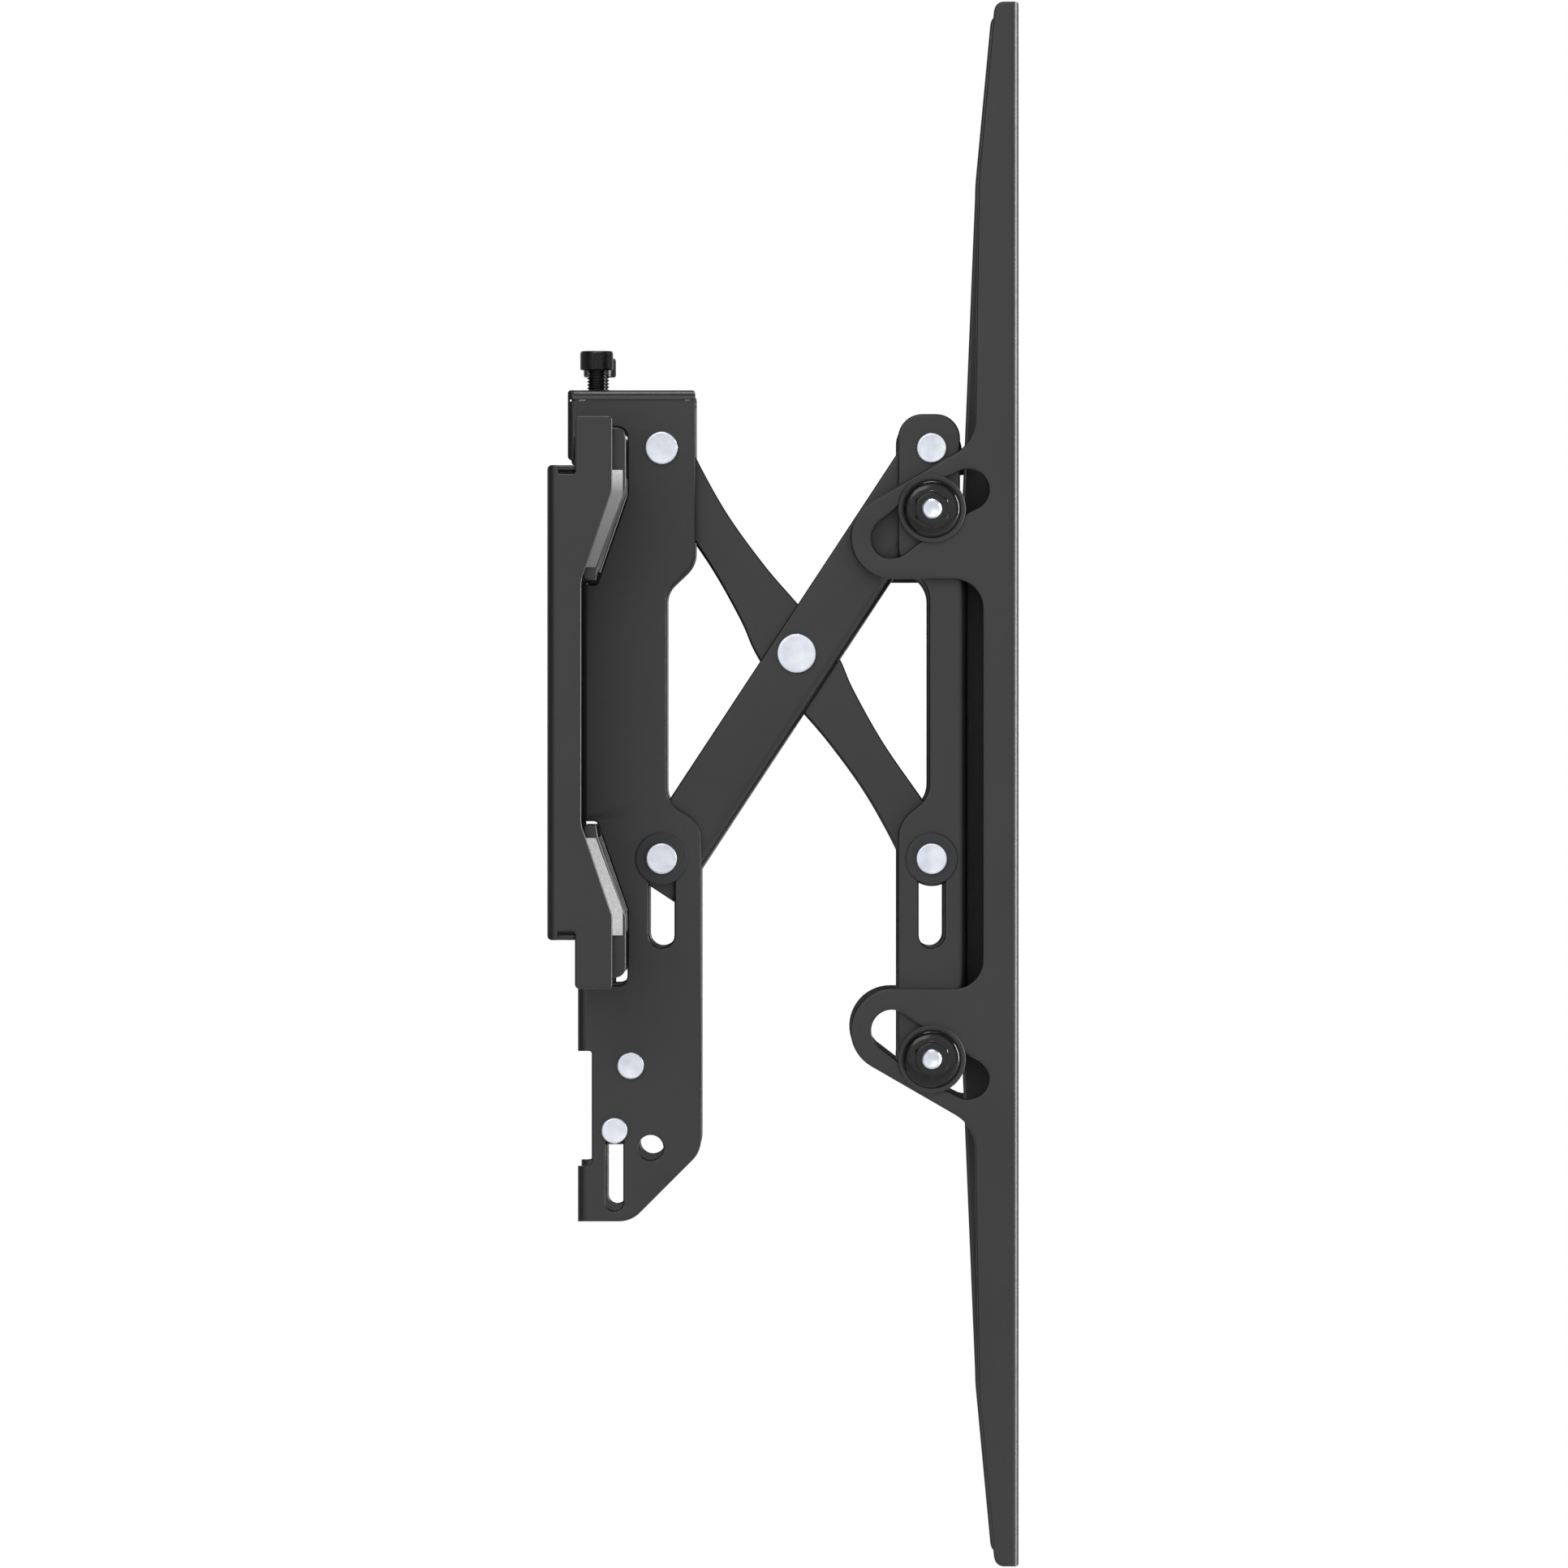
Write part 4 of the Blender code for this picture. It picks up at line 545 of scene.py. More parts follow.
def make_bracket():
    """A folded channel; its web steps back at the top for the hook, and its top is folded over."""
    holes = [circle(flat(WALL_PIVOT), BORE), circle(flat(LATCH_RIVET), 5.6 * MM),
             slot(flat(WALL_SLIDER), (WALL_SLIDER.x, SLIDE_END), SLIDER_SLOT),
             slot(flat(LATCH_PIN), (LATCH_PIN.x, LATCH_PIN.z - LATCH_TRAVEL), 5.45 * MM),
             circle(LOCK_HOLE, 7.75 * MM)]
    near_y, far_y = ARM_Y - CHANNEL_U, ARM_Y + CHANNEL_U
    bracket = cut_plate("left_bracket_sheet", [bracket_side()] + holes, (near_y, far_y))
    step = FLANGE_Z + MM / 2
    hook_x = BRACKET[0].x
    past_x, past_z = 60 * MM, -200 * MM
    hull = soft_block("hull", (BACK_X, near_y, past_z), (past_x, far_y, step), (BEND, upright_fold(BACK_X)))
    head = soft_block("head", (hook_x, near_y, step), (past_x, far_y, PLATE_TOP_Z),
                      (2.4 * MM, upright_fold(hook_x)), (2.6 * MM, top_fold(PLATE_TOP_Z)))
    boolean(bracket, unite(hull, head), "INTERSECT")
    near_y, far_y = near_y + SHEET, far_y - SHEET
    past_x, past_z = past_x + 10 * MM, past_z - 10 * MM
    core = soft_block("core", (BACK_X + SHEET, near_y, past_z), (past_x, far_y, step + MM),
                      (BEND - SHEET, upright_fold(BACK_X + SHEET)))
    cut(bracket, core, block("head_core", (hook_x + SHEET, near_y, step),
                             (past_x, far_y, PLATE_TOP_Z - SHEET)))
    for row in (-1, 1):
        face = ARM_Y + row * CHANNEL_U
        cut(bracket, block("groove", (0, face - 0.8 * MM, SEAM_Z - SEAM),
                           (past_x, face + 0.8 * MM, SEAM_Z + SEAM)))
    for x_from, x_to in RELIEFS:
        cut(bracket, block("relief", (x_from, ARM_Y - CHANNEL_U - MM, SEAM_Z - SEAM),
                           (x_to, ARM_Y + CHANNEL_U + MM, SEAM_Z + SEAM + NEAR / 2)))
    bore_top, bore_end = PLATE_TOP_Z + MM, SIDE_TOP - 2 * MM
    return cut(bracket, plug("bore", BORE / 2, bore_end, bore_top, upright(SCREW)))


# ---------------- scissor arms
ARM_HALF = (FRONT_PIVOT - WALL_SLIDER).length / 2
ARM_LEAN = math.atan2(FRONT_PIVOT.x - WALL_SLIDER.x, FRONT_PIVOT.z - WALL_SLIDER.z)
OPEN_SIDE = 8.0 * MM            # from the straight arm's middle line to its open edges
BENT_SIDE = 12.2 * MM           # and to its folded edge
CURVED_END = 8.5 * MM           # radius of the curved plates' ends
# The curved plate's near edge: along the plate from its middle, and out from its middle line.
CURVED_EDGE = ((62, 6.7), (46, 5.8), (28, 6.7), (14, 8.5), (0, 10.4), (-9, 10.2), (-19, 8.5), (-37, 7.2),
               (-56, 7.6))


def on_arm(along, aside, lean):
    return (CENTRE.x + along * math.sin(lean) - aside * math.cos(lean),
            CENTRE.z + along * math.cos(lean) + aside * math.sin(lean))


def make_straight_arm():
    """Folded along its lower right edge; the web is cut back for the curved plates."""
    tail = -ARM_HALF - 9 * MM
    tip = ARM_HALF + OPEN_SIDE
    end_r = 0.95 * OPEN_SIDE
    outline = rounded([(-OPEN_SIDE, tail, 1.5 * MM), (-OPEN_SIDE, tip, end_r), (OPEN_SIDE, tip, end_r),
                       (BENT_SIDE, 62 * MM, 14 * MM), (BENT_SIDE, tail, 1.5 * MM)])
    holes = [circle((0, along), d) for along, d in ((ARM_HALF, BORE), (-ARM_HALF, BORE), (0, CENTRE_BORE))]
    arm = pressed("left_straight_arm_sheet", [outline] + holes, BENT_SIDE, ARM_U, sheet=ARM_SHEET,
                  bend=3.2 * MM, reach=-0.1)
    inner = CURVED_U + GAP
    for z_from, z_to in ((tail + 30 * MM, 10 * MM), (60 * MM, tip + 2 * MM)):
        cut(arm, block("window", (BENT_SIDE - 3.5 * MM, ARM_Y - inner, z_from),
                       (BENT_SIDE + MM, ARM_Y + inner, z_to)))
    arm.matrix_world = (Matrix.Translation((CENTRE.x, ARM_Y, CENTRE.z)) @ Matrix.Rotation(ARM_LEAN, 4, "Y")
                        @ Matrix.Translation((0, -ARM_Y, 0)))
    return settle(arm)


def curved_outline():
    """Waisted either side of a wide middle; half a turn about the centre gives the same arm."""
    right = [(ARM_HALF, -CURVED_END), *[(a * MM, -b * MM) for a, b in CURVED_EDGE], (-ARM_HALF, -CURVED_END)]
    edge = smooth([on_arm(a, b, -ARM_LEAN) for a, b in right])
    turned = [(2 * CENTRE.x - x, 2 * CENTRE.z - z) for x, z in edge]
    low_end = arc(flat(FRONT_SLIDER), CURVED_END, ARM_LEAN, ARM_LEAN - math.pi)
    top_end = arc(flat(WALL_PIVOT), CURVED_END, ARM_LEAN + math.pi, ARM_LEAN)
    return edge + low_end[1:-1] + turned + top_end[1:-1]


def make_curved_arm(hand):
    holes = [circle(flat(WALL_PIVOT), BORE), circle(flat(FRONT_SLIDER), BORE),
             circle(flat(CENTRE), CENTRE_BORE)]
    ends = sorted((ARM_Y - hand * CURVED_U, ARM_Y - hand * (CURVED_U - ARM_SHEET)))
    where = "outer" if hand > 0 else "inner"
    return cut_plate(f"left_curved_plate_{where}", [curved_outline()] + holes, ends)


# ---------------- front channel
FRONT_WEB_X = FRONT_PIVOT.x + 11 * MM


def front_side():
    x = FRONT_PIVOT.x
    back, foot_x = x - 10.4 * MM, x + 10.4 * MM
    top = FRONT_PIVOT.z + 10.5 * MM
    waist = x - 0.8 * MM
    web = FRONT_WEB_X
    pad = x + 8.75 * MM
    upper = FRONT_PIVOT.z - 34.5 * MM
    lower = FRONT_SLIDER.z + 11 * MM
    web_top = FRONT_PIVOT.z - 40.5 * MM
    web_low = STUDS[1].z + 21.75 * MM
    bottom = STUDS[1].z - 10.4 * MM
    return rounded([
        (back, top, 7.5 * MM), (back, upper, 9 * MM), (waist, upper - 8 * MM, 9 * MM),
        (waist, lower + 8 * MM, 9 * MM), (back, lower, 10 * MM), (back, bottom, 10.2 * MM),
        (foot_x, bottom, 10.2 * MM), (foot_x, web_low - 8 * MM, 4 * MM), (web, web_low, 3 * MM),
        (web, web_top, 3 * MM), (pad, web_top + 8 * MM, 6 * MM), (pad, top, 7.5 * MM)])


def make_front_channel():
    holes = [circle(flat(spot), BORE) for spot in (FRONT_PIVOT, *STUDS)]
    holes.append(slot(flat(FRONT_SLIDER), (FRONT_SLIDER.x, SLIDE_END), SLIDER_SLOT))
    return pressed("left_front_channel_sheet", [front_side()] + holes, FRONT_WEB_X, CHANNEL_U,
                   reach=-0.05)


# ---------------- display rail
TILT_AHEAD = 51.75 * MM         # from the studs to the line that the display tilts about
TILT_CENTRE = (FRONT_PIVOT.x + TILT_AHEAD, TILT_MID_Z)
TILT_R = math.hypot(TILT_AHEAD, STUDS[0].z - TILT_MID_Z)
TILT_REST = math.atan2(STUDS[0].z - TILT_MID_Z, -TILT_AHEAD)
TILT_SLOT = 12.75 * MM          # width of the curved slots
SLOT_DOWN, SLOT_UP = math.radians(8.73), math.radians(7.29)
DISPLAY_SLOTS = (-200, -150, -100, 100, 150, 200)
DISPLAY_SLOT_RUN, DISPLAY_SLOT_WIDTH = 19.5 * MM, 6.5 * MM
# The rail's top corner and the slope below it, which both side walls share.
RAIL_TOP = [(RAIL_FACE_X, RAIL_TOP_Z, MM), (RAIL_FACE_X - 7.25 * MM, RAIL_TOP_Z, 3 * MM),
            (RAIL_FACE_X - 12.25 * MM, RAIL_TOP_Z - 53.25 * MM, 60 * MM)]


def tilt_point(angle):
    turn = TILT_REST + angle
    return (TILT_CENTRE[0] + TILT_R * math.cos(turn), TILT_CENTRE[1] + TILT_R * math.sin(turn))


def tilt_slot():
    start, end = TILT_REST - SLOT_UP, TILT_REST + SLOT_DOWN
    half = TILT_SLOT / 2
    down = arc(tilt_point(SLOT_DOWN), half, end, end + math.pi)
    up = arc(tilt_point(-SLOT_UP), half, start + math.pi, start + 2 * math.pi)
    return (arc(TILT_CENTRE, TILT_R + half, start, end) + down[1:-1]
            + arc(TILT_CENTRE, TILT_R - half, end, start) + up[1:-1])


def rail_side():
    """Side wall with its two tilt ears, the lower half a mirror image of the upper."""
    tip = tilt_point(SLOT_DOWN)
    tip_r = TILT_SLOT / 2 + 6.4 * MM
    slope = math.radians(30)
    touch = (tip[0] - tip_r * math.sin(slope), tip[1] + tip_r * math.cos(slope))
    ear_x = RAIL_FACE_X - 13.5 * MM
    ear_z = touch[1] + (ear_x - touch[0]) * math.tan(slope)
    upper = RAIL_TOP + [(ear_x, ear_z, 12 * MM)]
    upper += arc(tip, tip_r, math.pi / 2 + slope, 3 * math.pi / 2)
    upper += [(RAIL_FACE_X - 11.1 * MM, tip[1] - tip_r, 9 * MM)]
    return rounded(upper + mirrored(upper, TILT_MID_Z))


def plain_side():
    upper = RAIL_TOP + [(RAIL_FACE_X - 16.5 * MM, TILT_MID_Z + 85 * MM, 60 * MM)]
    return rounded(upper + mirrored(upper, TILT_MID_Z))


def make_rail():
    """Both legs follow the same line, but only the outboard one has the ears, so it is made in two."""
    split = ARM_Y - RAIL_U + 8 * MM
    halves = []
    for outlines, side in (([rail_side(), tilt_slot(), mirrored(tilt_slot(), TILT_MID_Z)], -1),
                           ([plain_side()], 1)):
        half = pressed("left_rail_sheet", outlines, RAIL_FACE_X, RAIL_U, bend=2.6 * MM, reach=-0.1)
        halves.append(keep_side(half, (0, split, 0), (0, side, 0)))
    rail, inner = halves
    run = DISPLAY_SLOT_RUN / 2
    for step in DISPLAY_SLOTS:
        tool = cut_plate("display_slot", [slot((0, -run), (0, run), DISPLAY_SLOT_WIDTH)],
                         (-2 * SHEET, 2 * SHEET), rim=0)
        tool.rotation_euler = (0, 0, math.pi / 2)
        tool.location = (RAIL_FACE_X - MM, ARM_Y, TILT_MID_Z + step * MM)
        cut(inner, settle(tool))
    return join(rail, inner)


# ---------------- rivets, pins and washers
HEAD = 2.1 * MM                 # thickness of a rivet's head
WASHER = 1.1 * MM
# Each piece through the folded channels: its place, shaft and head radius, and its rim.
HEADED = {"top_rivet": (WALL_PIVOT, 3 * MM, 5 * MM, 0.35 * MM),
          "front_rivet": (FRONT_PIVOT, 3 * MM, 4.6 * MM, 0.35 * MM),
          "latch_rivet": (LATCH_RIVET, 2.5 * MM, 4.1 * MM, 0.35 * MM),
          "latch_pin": (LATCH_PIN, 2.4 * MM, 4 * MM, 0.5 * MM)}


def make_headed(name, spot, shaft_r, head_r, head_from, head_thick, edge=0.35 * MM):
    """A rivet or pin across the arm: flat heads with rounded rims and a faint pressed ring."""
    end = head_from + head_thick
    ring = 0.82 * head_r
    dish = 0.06 * MM
    upper = [(0, end - dish), (ring - 0.3 * MM, end - dish), (ring, end)]
    upper += round_end(head_r, end, edge)[1:]
    upper += [(head_r, head_from), (shaft_r, head_from)]
    return spun(name, upper + [(r, -h) for r, h in reversed(upper)], crosswise(spot))


def make_washer(name, spot, outer_r, inner_r, u_from, u_to, edge=0.3 * MM):
    profile = [(inner_r, u_to), *round_end(outer_r, u_to, edge, 3)[1:]]
    profile += [(r, u_from + u_to - h) for r, h in reversed(round_end(outer_r, u_to, edge, 3)[1:])]
    return spun(name, profile + [(inner_r, u_from), (inner_r, u_to)], crosswise(spot))


def make_pins():
    washer_u = CHANNEL_U + GAP
    head_u = washer_u + WASHER + GAP
    made = {part: make_headed(f"left_{part}_head", spot, shaft, head, CHANNEL_U + GAP, HEAD, edge=edge)
            for part, (spot, shaft, head, edge) in HEADED.items()}
    made["centre_rivet"] = make_headed("left_centre_rivet_head", CENTRE, 4 * MM, 6 * MM, ARM_U + GAP,
                                       1.9 * MM)
    tube = CURVED_U - ARM_SHEET - GAP
    made["centre_spacer"] = make_washer("left_centre_tube", CENTRE, 6 * MM, 4.3 * MM, -tube, tube)
    for part, spot in (("wall_slider", WALL_SLIDER), ("front_slider", FRONT_SLIDER)):
        made[part + "_pin"] = make_headed(f"left_{part}_pin_head", spot, 3 * MM, 4.75 * MM, head_u, 1.3 * MM)
        for where, sign in (("outer", 1), ("inner", -1)):
            ends = sorted((sign * washer_u, sign * (washer_u + WASHER)))
            made[f"{part}_washer_{where}"] = make_washer(
                f"left_{part}_disc_{where}", spot, 8 * MM, 3.3 * MM, *ends)
    return made


# ---------------- threaded pieces
NUT_BORE = 6.5 * MM
NUT_WIDTH = 10 * MM             # across flats


def thread(name, radius, bottom, top, place, pitch=1.0 * MM, depth=0.55 * MM):
    """One start of a real helical thread, standing on its core."""
    turns = int((top - bottom) / pitch) - 1
    mesh = bpy.data.meshes.new(name)
    root = radius - depth - 0.1 * MM
    crest = 0.06 * pitch
    profile = [(root, 0, 0), (radius - 0.02 * MM, 0, pitch / 2 - crest),
               (radius - 0.02 * MM, 0, pitch / 2 + crest), (root, 0, 0.98 * pitch)]
    mesh.from_pydata(profile, [(0, 1), (1, 2), (2, 3), (3, 0)], [])
    ridge = add_object(name, mesh)
    apply(ridge, "SCREW", steps=32, render_steps=32, screw_offset=pitch, iterations=turns,
          use_merge_vertices=False)
    edit_all(ridge)
    bpy.ops.mesh.remove_doubles(threshold=MERGE)
    bpy.ops.mesh.select_all(action="DESELECT")
    bpy.ops.mesh.select_mode(type="EDGE")
    bpy.ops.mesh.select_non_manifold(extend=False)
    bpy.ops.mesh.edge_face_add()
    bpy.ops.mesh.select_all(action="SELECT")
    bpy.ops.mesh.normals_make_consistent(inside=False)
    bpy.ops.object.mode_set(mode="OBJECT")
    ridge.matrix_world = place @ Matrix.Translation((0, 0, bottom))
    return settle(ridge)


def hex_prism(name, across_flats, z_from, z_to, place):
    bpy.ops.mesh.primitive_cylinder_add(vertices=6, radius=across_flats / 2 / math.cos(math.pi / 6),
                                        depth=z_to - z_from, location=(0, 0, (z_from + z_to) / 2))
    prism = bpy.context.active_object
    prism.name = name
    settle(prism)
    prism.matrix_world = place
    return settle(prism)


def make_screw():
    """Socket cap screw: knurled head, real thread, rounded tip."""
    top = high("left_levelling_screw").z
    tip = low("left_levelling_screw").z
    head = top - 6 * MM
    place = upright(SCREW)
    screw = spun("left_cap_screw", round_end(5 * MM, top, 0.6 * MM, 5) + [
        (5 * MM, head + 0.3 * MM), (4.7 * MM, head), (2.45 * MM, head), (2.45 * MM, tip + 0.6 * MM),
        (1.9 * MM, tip), (0, tip)], place, steps=96)
    pick(screw, "faces", lambda at, normal: abs(normal.z) < 0.1 and head + 0.4 * MM < at.z < top - 0.8 * MM)
    bpy.ops.mesh.inset(thickness=0.06 * MM, depth=0.09 * MM, use_individual=True)
    done(screw)
    cut(screw, hex_prism("socket", 5 * MM, top - 3 * MM, top + MM, place))
    ridge = thread("ridge", 3 * MM, tip + 0.4 * MM, head + 0.6 * MM, place)
    return join(screw, ridge)


def make_screw_nut():
    top, bottom = high("left_screw_nut").z, low("left_screw_nut").z
    place = upright(SCREW)
    nut = hex_prism("left_hex_nut", NUT_WIDTH, bottom, top, place)
    chamfer = spun("chamfer", [(0, top), (5 * MM, top), (6.2 * MM, top - 0.7 * MM),
                               (6.2 * MM, bottom + 0.7 * MM), (5 * MM, bottom), (0, bottom)], place)
    boolean(nut, chamfer, "INTERSECT")
    cut(nut, plug("bore", NUT_BORE / 2, bottom - MM, top + MM, place))
    return ease(nut, width=0.12 * MM)


def make_foot():
    corner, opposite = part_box("left_screw_foot")
    outline = rounded([(corner.x, corner.z, 0.8 * MM), (opposite.x, corner.z, 0.8 * MM),
                       (opposite.x, opposite.z, 3.5 * MM), (corner.x, opposite.z, 0.8 * MM)])
    foot = cut_plate("left_foot_block", [outline], (corner.y, opposite.y), rim=0.6 * MM)
    seat = corner.z + 3 * MM
    return cut(foot, plug("seat", BORE / 2, seat, opposite.z + MM, upright(SCREW)))


def make_tilt_fastener(where, stud_spot):
    """Stud with a spacer shoulder, nylon bush in the slot, and a flanged lock nut."""
    place = crosswise(stud_spot)
    rail_in = RAIL_U - SHEET
    bush_u = RAIL_U + GAP
    top = bush_u + 1.5 * MM
    nut_u = top + GAP
    flange = nut_u + 1.2 * MM
    nut_top = flange + 4.6 * MM
    end = nut_top + 1.2 * MM
    inner = CHANNEL_U - SHEET - GAP
    stud = spun(f"left_stud_{where}", [
        (0, end - 0.25 * MM), (1.5 * MM, end - 0.25 * MM), (2.0 * MM, end), (2.55 * MM, end),
        (3 * MM, end - 0.5 * MM),
        (3 * MM, rail_in - GAP), (5.7 * MM, rail_in - GAP), (6 * MM, rail_in - 2 * GAP),
        (6 * MM, CHANNEL_U + GAP), (3 * MM, CHANNEL_U + GAP), (3 * MM, inner), (4.5 * MM, inner),
        (4.5 * MM, inner - 1.2 * MM), (4.2 * MM, inner - 1.5 * MM), (0, inner - 1.5 * MM)], place)
    sleeve = TILT_SLOT / 2 - GAP
    outer = 10.5 * MM
    bush = spun(f"left_bush_{where}", [
        (3.3 * MM, top - 0.5 * MM), (8.85 * MM, top - 0.5 * MM), (9.1 * MM, top - 0.1 * MM),
        *round_end(outer, top, 0.5 * MM)[1:], (outer, bush_u), (sleeve, bush_u), (sleeve, rail_in),
        (3.3 * MM, rail_in), (3.3 * MM, top - 0.5 * MM)], place)
    dome = [(3.3 * MM, flange + 0.4 * MM), (5.2 * MM, flange + 0.4 * MM)]
    dome += [(5.2 * MM + 3.3 * MM * math.sin(a), flange - 0.8 * MM + 1.2 * MM * math.cos(a))
             for a in (0.3, 0.6, 0.9, 1.2, 1.45)]
    nut = spun(f"left_lock_nut_{where}", dome + [(8.7 * MM, flange - 0.9 * MM), (8.7 * MM, nut_u),
                                                 (3.3 * MM, nut_u), (3.3 * MM, flange + 0.4 * MM)], place)
    hexagon = hex_prism("hexagon", NUT_WIDTH, flange - 0.3 * MM, nut_top, place)
    crown = spun("crown", [(0, nut_top), (4.6 * MM, nut_top), (5.3 * MM, nut_top - 0.4 * MM),
                           (6.1 * MM, nut_top - 1.2 * MM), (6.1 * MM, flange - MM), (0, flange - MM)], place)
    boolean(hexagon, crown, "INTERSECT")
    unite(nut, hexagon)
    cut(nut, plug("bore", NUT_BORE / 2, nut_u - MM, flange + 6 * MM, place))
    ease(nut, width=0.15 * MM, angle=30)
    return {f"tilt_stud_{where}": stud, f"tilt_bush_{where}": bush, f"tilt_nut_{where}": nut}


# ---------------- latch
def make_latch():
    corner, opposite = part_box("left_latch_plate")
    half = (opposite.y - corner.y) / 2
    cheek_low, cheek_top = LATCH_PIN.z - 4.25 * MM, LATCH_PIN.z + 13.75 * MM
    tongue = cut_plate("left_latch_sheet", [rounded([
        (corner.x, corner.z), (corner.x + SHEET, corner.z), (corner.x + SHEET, opposite.z),
        (corner.x, opposite.z)])], (ARM_Y - half + 2.6 * MM, ARM_Y + half - 2.6 * MM), rim=0)
    cheeks = channel("cheeks", corner.x, LATCH_PIN.x + 6 * MM, half, cheek_low, cheek_top, bend=2.6 * MM)
    front = LATCH_PIN.x + 4.5 * MM
    outline = rounded([(corner.x - MM, cheek_low), (front, cheek_low, 2 * MM), (front, cheek_top, 2 * MM),
                       (corner.x - MM, cheek_top)])
    trim(cheeks, [outline, circle(flat(LATCH_PIN), 5.4 * MM)], 20 * MM)
    wide = block("wide", (corner.x, ARM_Y - half, cheek_top), (corner.x + SHEET, ARM_Y + half, opposite.z))
    grip = block("grip", (corner.x, ARM_Y - half, corner.z), (corner.x + SHEET, ARM_Y + half, cheek_low))
    unite(tongue, cheeks, wide, grip)
    return ease(tongue)


def make_spring():
    """Close-wound extension spring, hooked over the latch rivet and the latch pin."""
    start = Vector((LATCH_RIVET.x, ARM_Y, LATCH_RIVET.z))
    end = Vector((LATCH_PIN.x, ARM_Y, LATCH_PIN.z))
    along = (end - start).normalized()
    out = Vector((0, 1, 0))
    up = along.cross(out)
    wire = 0.4 * MM
    coil_r = 2.4 * MM
    first, last = start + along * 5.2 * MM, end - along * 4.9 * MM
    turns = 11
    per_turn = 16
    count = turns * per_turn
    points = [start + 2.95 * MM * (math.cos(a) * -along + math.sin(a) * up)
              for a in [math.radians(d) for d in range(-120, 121, 20)]]
    points += [first.lerp(last, i / count) + coil_r * (math.cos(2 * math.pi * i / per_turn) * up
                                                       + math.sin(2 * math.pi * i / per_turn) * out)
               for i in range(count + 1)]
    points += [end + 2.85 * MM * (math.cos(a) * along + math.sin(a) * up)
               for a in [math.radians(d) for d in range(120, -121, -20)]]
    line = bpy.data.curves.new("left_extension_spring", "CURVE")
    line.dimensions = "3D"
    line.bevel_depth = wire
    line.bevel_resolution = 3
    line.use_fill_caps = True
    spline = line.splines.new("POLY")
    spline.points.add(len(points) - 1)
    for point, spot in zip(spline.points, points):
        point.co = (*spot, 1)
    spring = add_object("left_extension_spring", line)
    select(spring)
    bpy.ops.object.convert(target="MESH")
    return clean(spring)


# ---------------- materials
def linear(code):
    """An sRGB hex colour as linear RGBA."""
    parts = [int(code[i:i + 2], 16) / 255 for i in (1, 3, 5)]
    return (*[c / 12.92 if c <= 0.04045 else ((c + 0.055) / 1.055) ** 2.4 for c in parts], 1)


def node(tree, kind, settings=None, **links):
    """Adds a node with its settings, its input values and its links."""
    made = tree.nodes.new(kind)
    for key, value in (settings or {}).items():
        setattr(made, key, value)
    for key, value in links.items():
        numbered = key[0] == "i" and key[1:].isdigit()
        socket = made.inputs[int(key[1:]) if numbered else key.replace("_", " ")]
        if isinstance(value, bpy.types.NodeSocket):
            tree.links.new(value, socket)
        else:
            socket.default_value = value
    return made


def new_material(name, colour, metallic, roughness):
    made = bpy.data.materials.new(name)
    made.use_nodes = True
    tree = made.node_tree
    shader = tree.nodes["Principled BSDF"]
    shader.inputs["Base Color"].default_value = linear(colour)
    shader.inputs["Metallic"].default_value = metallic
    shader.inputs["Roughness"].default_value = roughness
    place = node(tree, "ShaderNodeTexCoord")
    return made, tree, shader, place.outputs["Object"]


def link(tree, output, socket):
    tree.links.new(output, socket)


def ramp(tree, factor, low_end, high_end, low_value, high_value):
    made = node(tree, "ShaderNodeMapRange", Value=factor)
    made.inputs["From Min"].default_value, made.inputs["From Max"].default_value = low_end, high_end
    made.inputs["To Min"].default_value, made.inputs["To Max"].default_value = low_value, high_value
    return made.outputs["Result"]


def wander(tree, factor, low_end, high_end, dark, light):
    """A colour that wanders between two tones with a pattern."""
    tone = node(tree, "ShaderNodeMix", {"data_type": "RGBA"})
    link(tree, ramp(tree, factor, low_end, high_end, 0.0, 1.0), tone.inputs["Factor"])
    tone.inputs["A"].default_value = linear(dark)
    tone.inputs["B"].default_value = linear(light)
    return tone.outputs["Result"]


def powder_coat():
    """Polyester powder coat, sprayed and baked: near-black, half-matt, with a fine orange peel."""
    made, tree, shader, place = new_material("black_powder_coat", "#121312", 0.0, 0.36)
    grain = node(tree, "ShaderNodeTexNoise", Vector=place, Scale=1 / (0.55 * MM), Detail=3.0, Roughness=0.6)
    peel = node(tree, "ShaderNodeTexNoise", Vector=place, Scale=1 / (2.6 * MM), Detail=2.0, Roughness=0.5)
    cloud = node(tree, "ShaderNodeTexNoise", Vector=place, Scale=1 / (34 * MM), Detail=2.0)
    tone = wander(tree, cloud.outputs["Fac"], 0.35, 0.65, "#101110", "#151615")
    link(tree, tone, shader.inputs["Base Color"])
    link(tree, ramp(tree, grain.outputs["Fac"], 0.3, 0.7, 0.32, 0.42), shader.inputs["Roughness"])
    fine = node(tree, "ShaderNodeBump", Height=grain.outputs["Fac"], Strength=0.12, Distance=0.05 * MM)
    broad = node(tree, "ShaderNodeBump", Height=peel.outputs["Fac"], Strength=0.10, Distance=0.12 * MM,
                 Normal=fine.outputs["Normal"])
    link(tree, broad.outputs["Normal"], shader.inputs["Normal"])
    return made


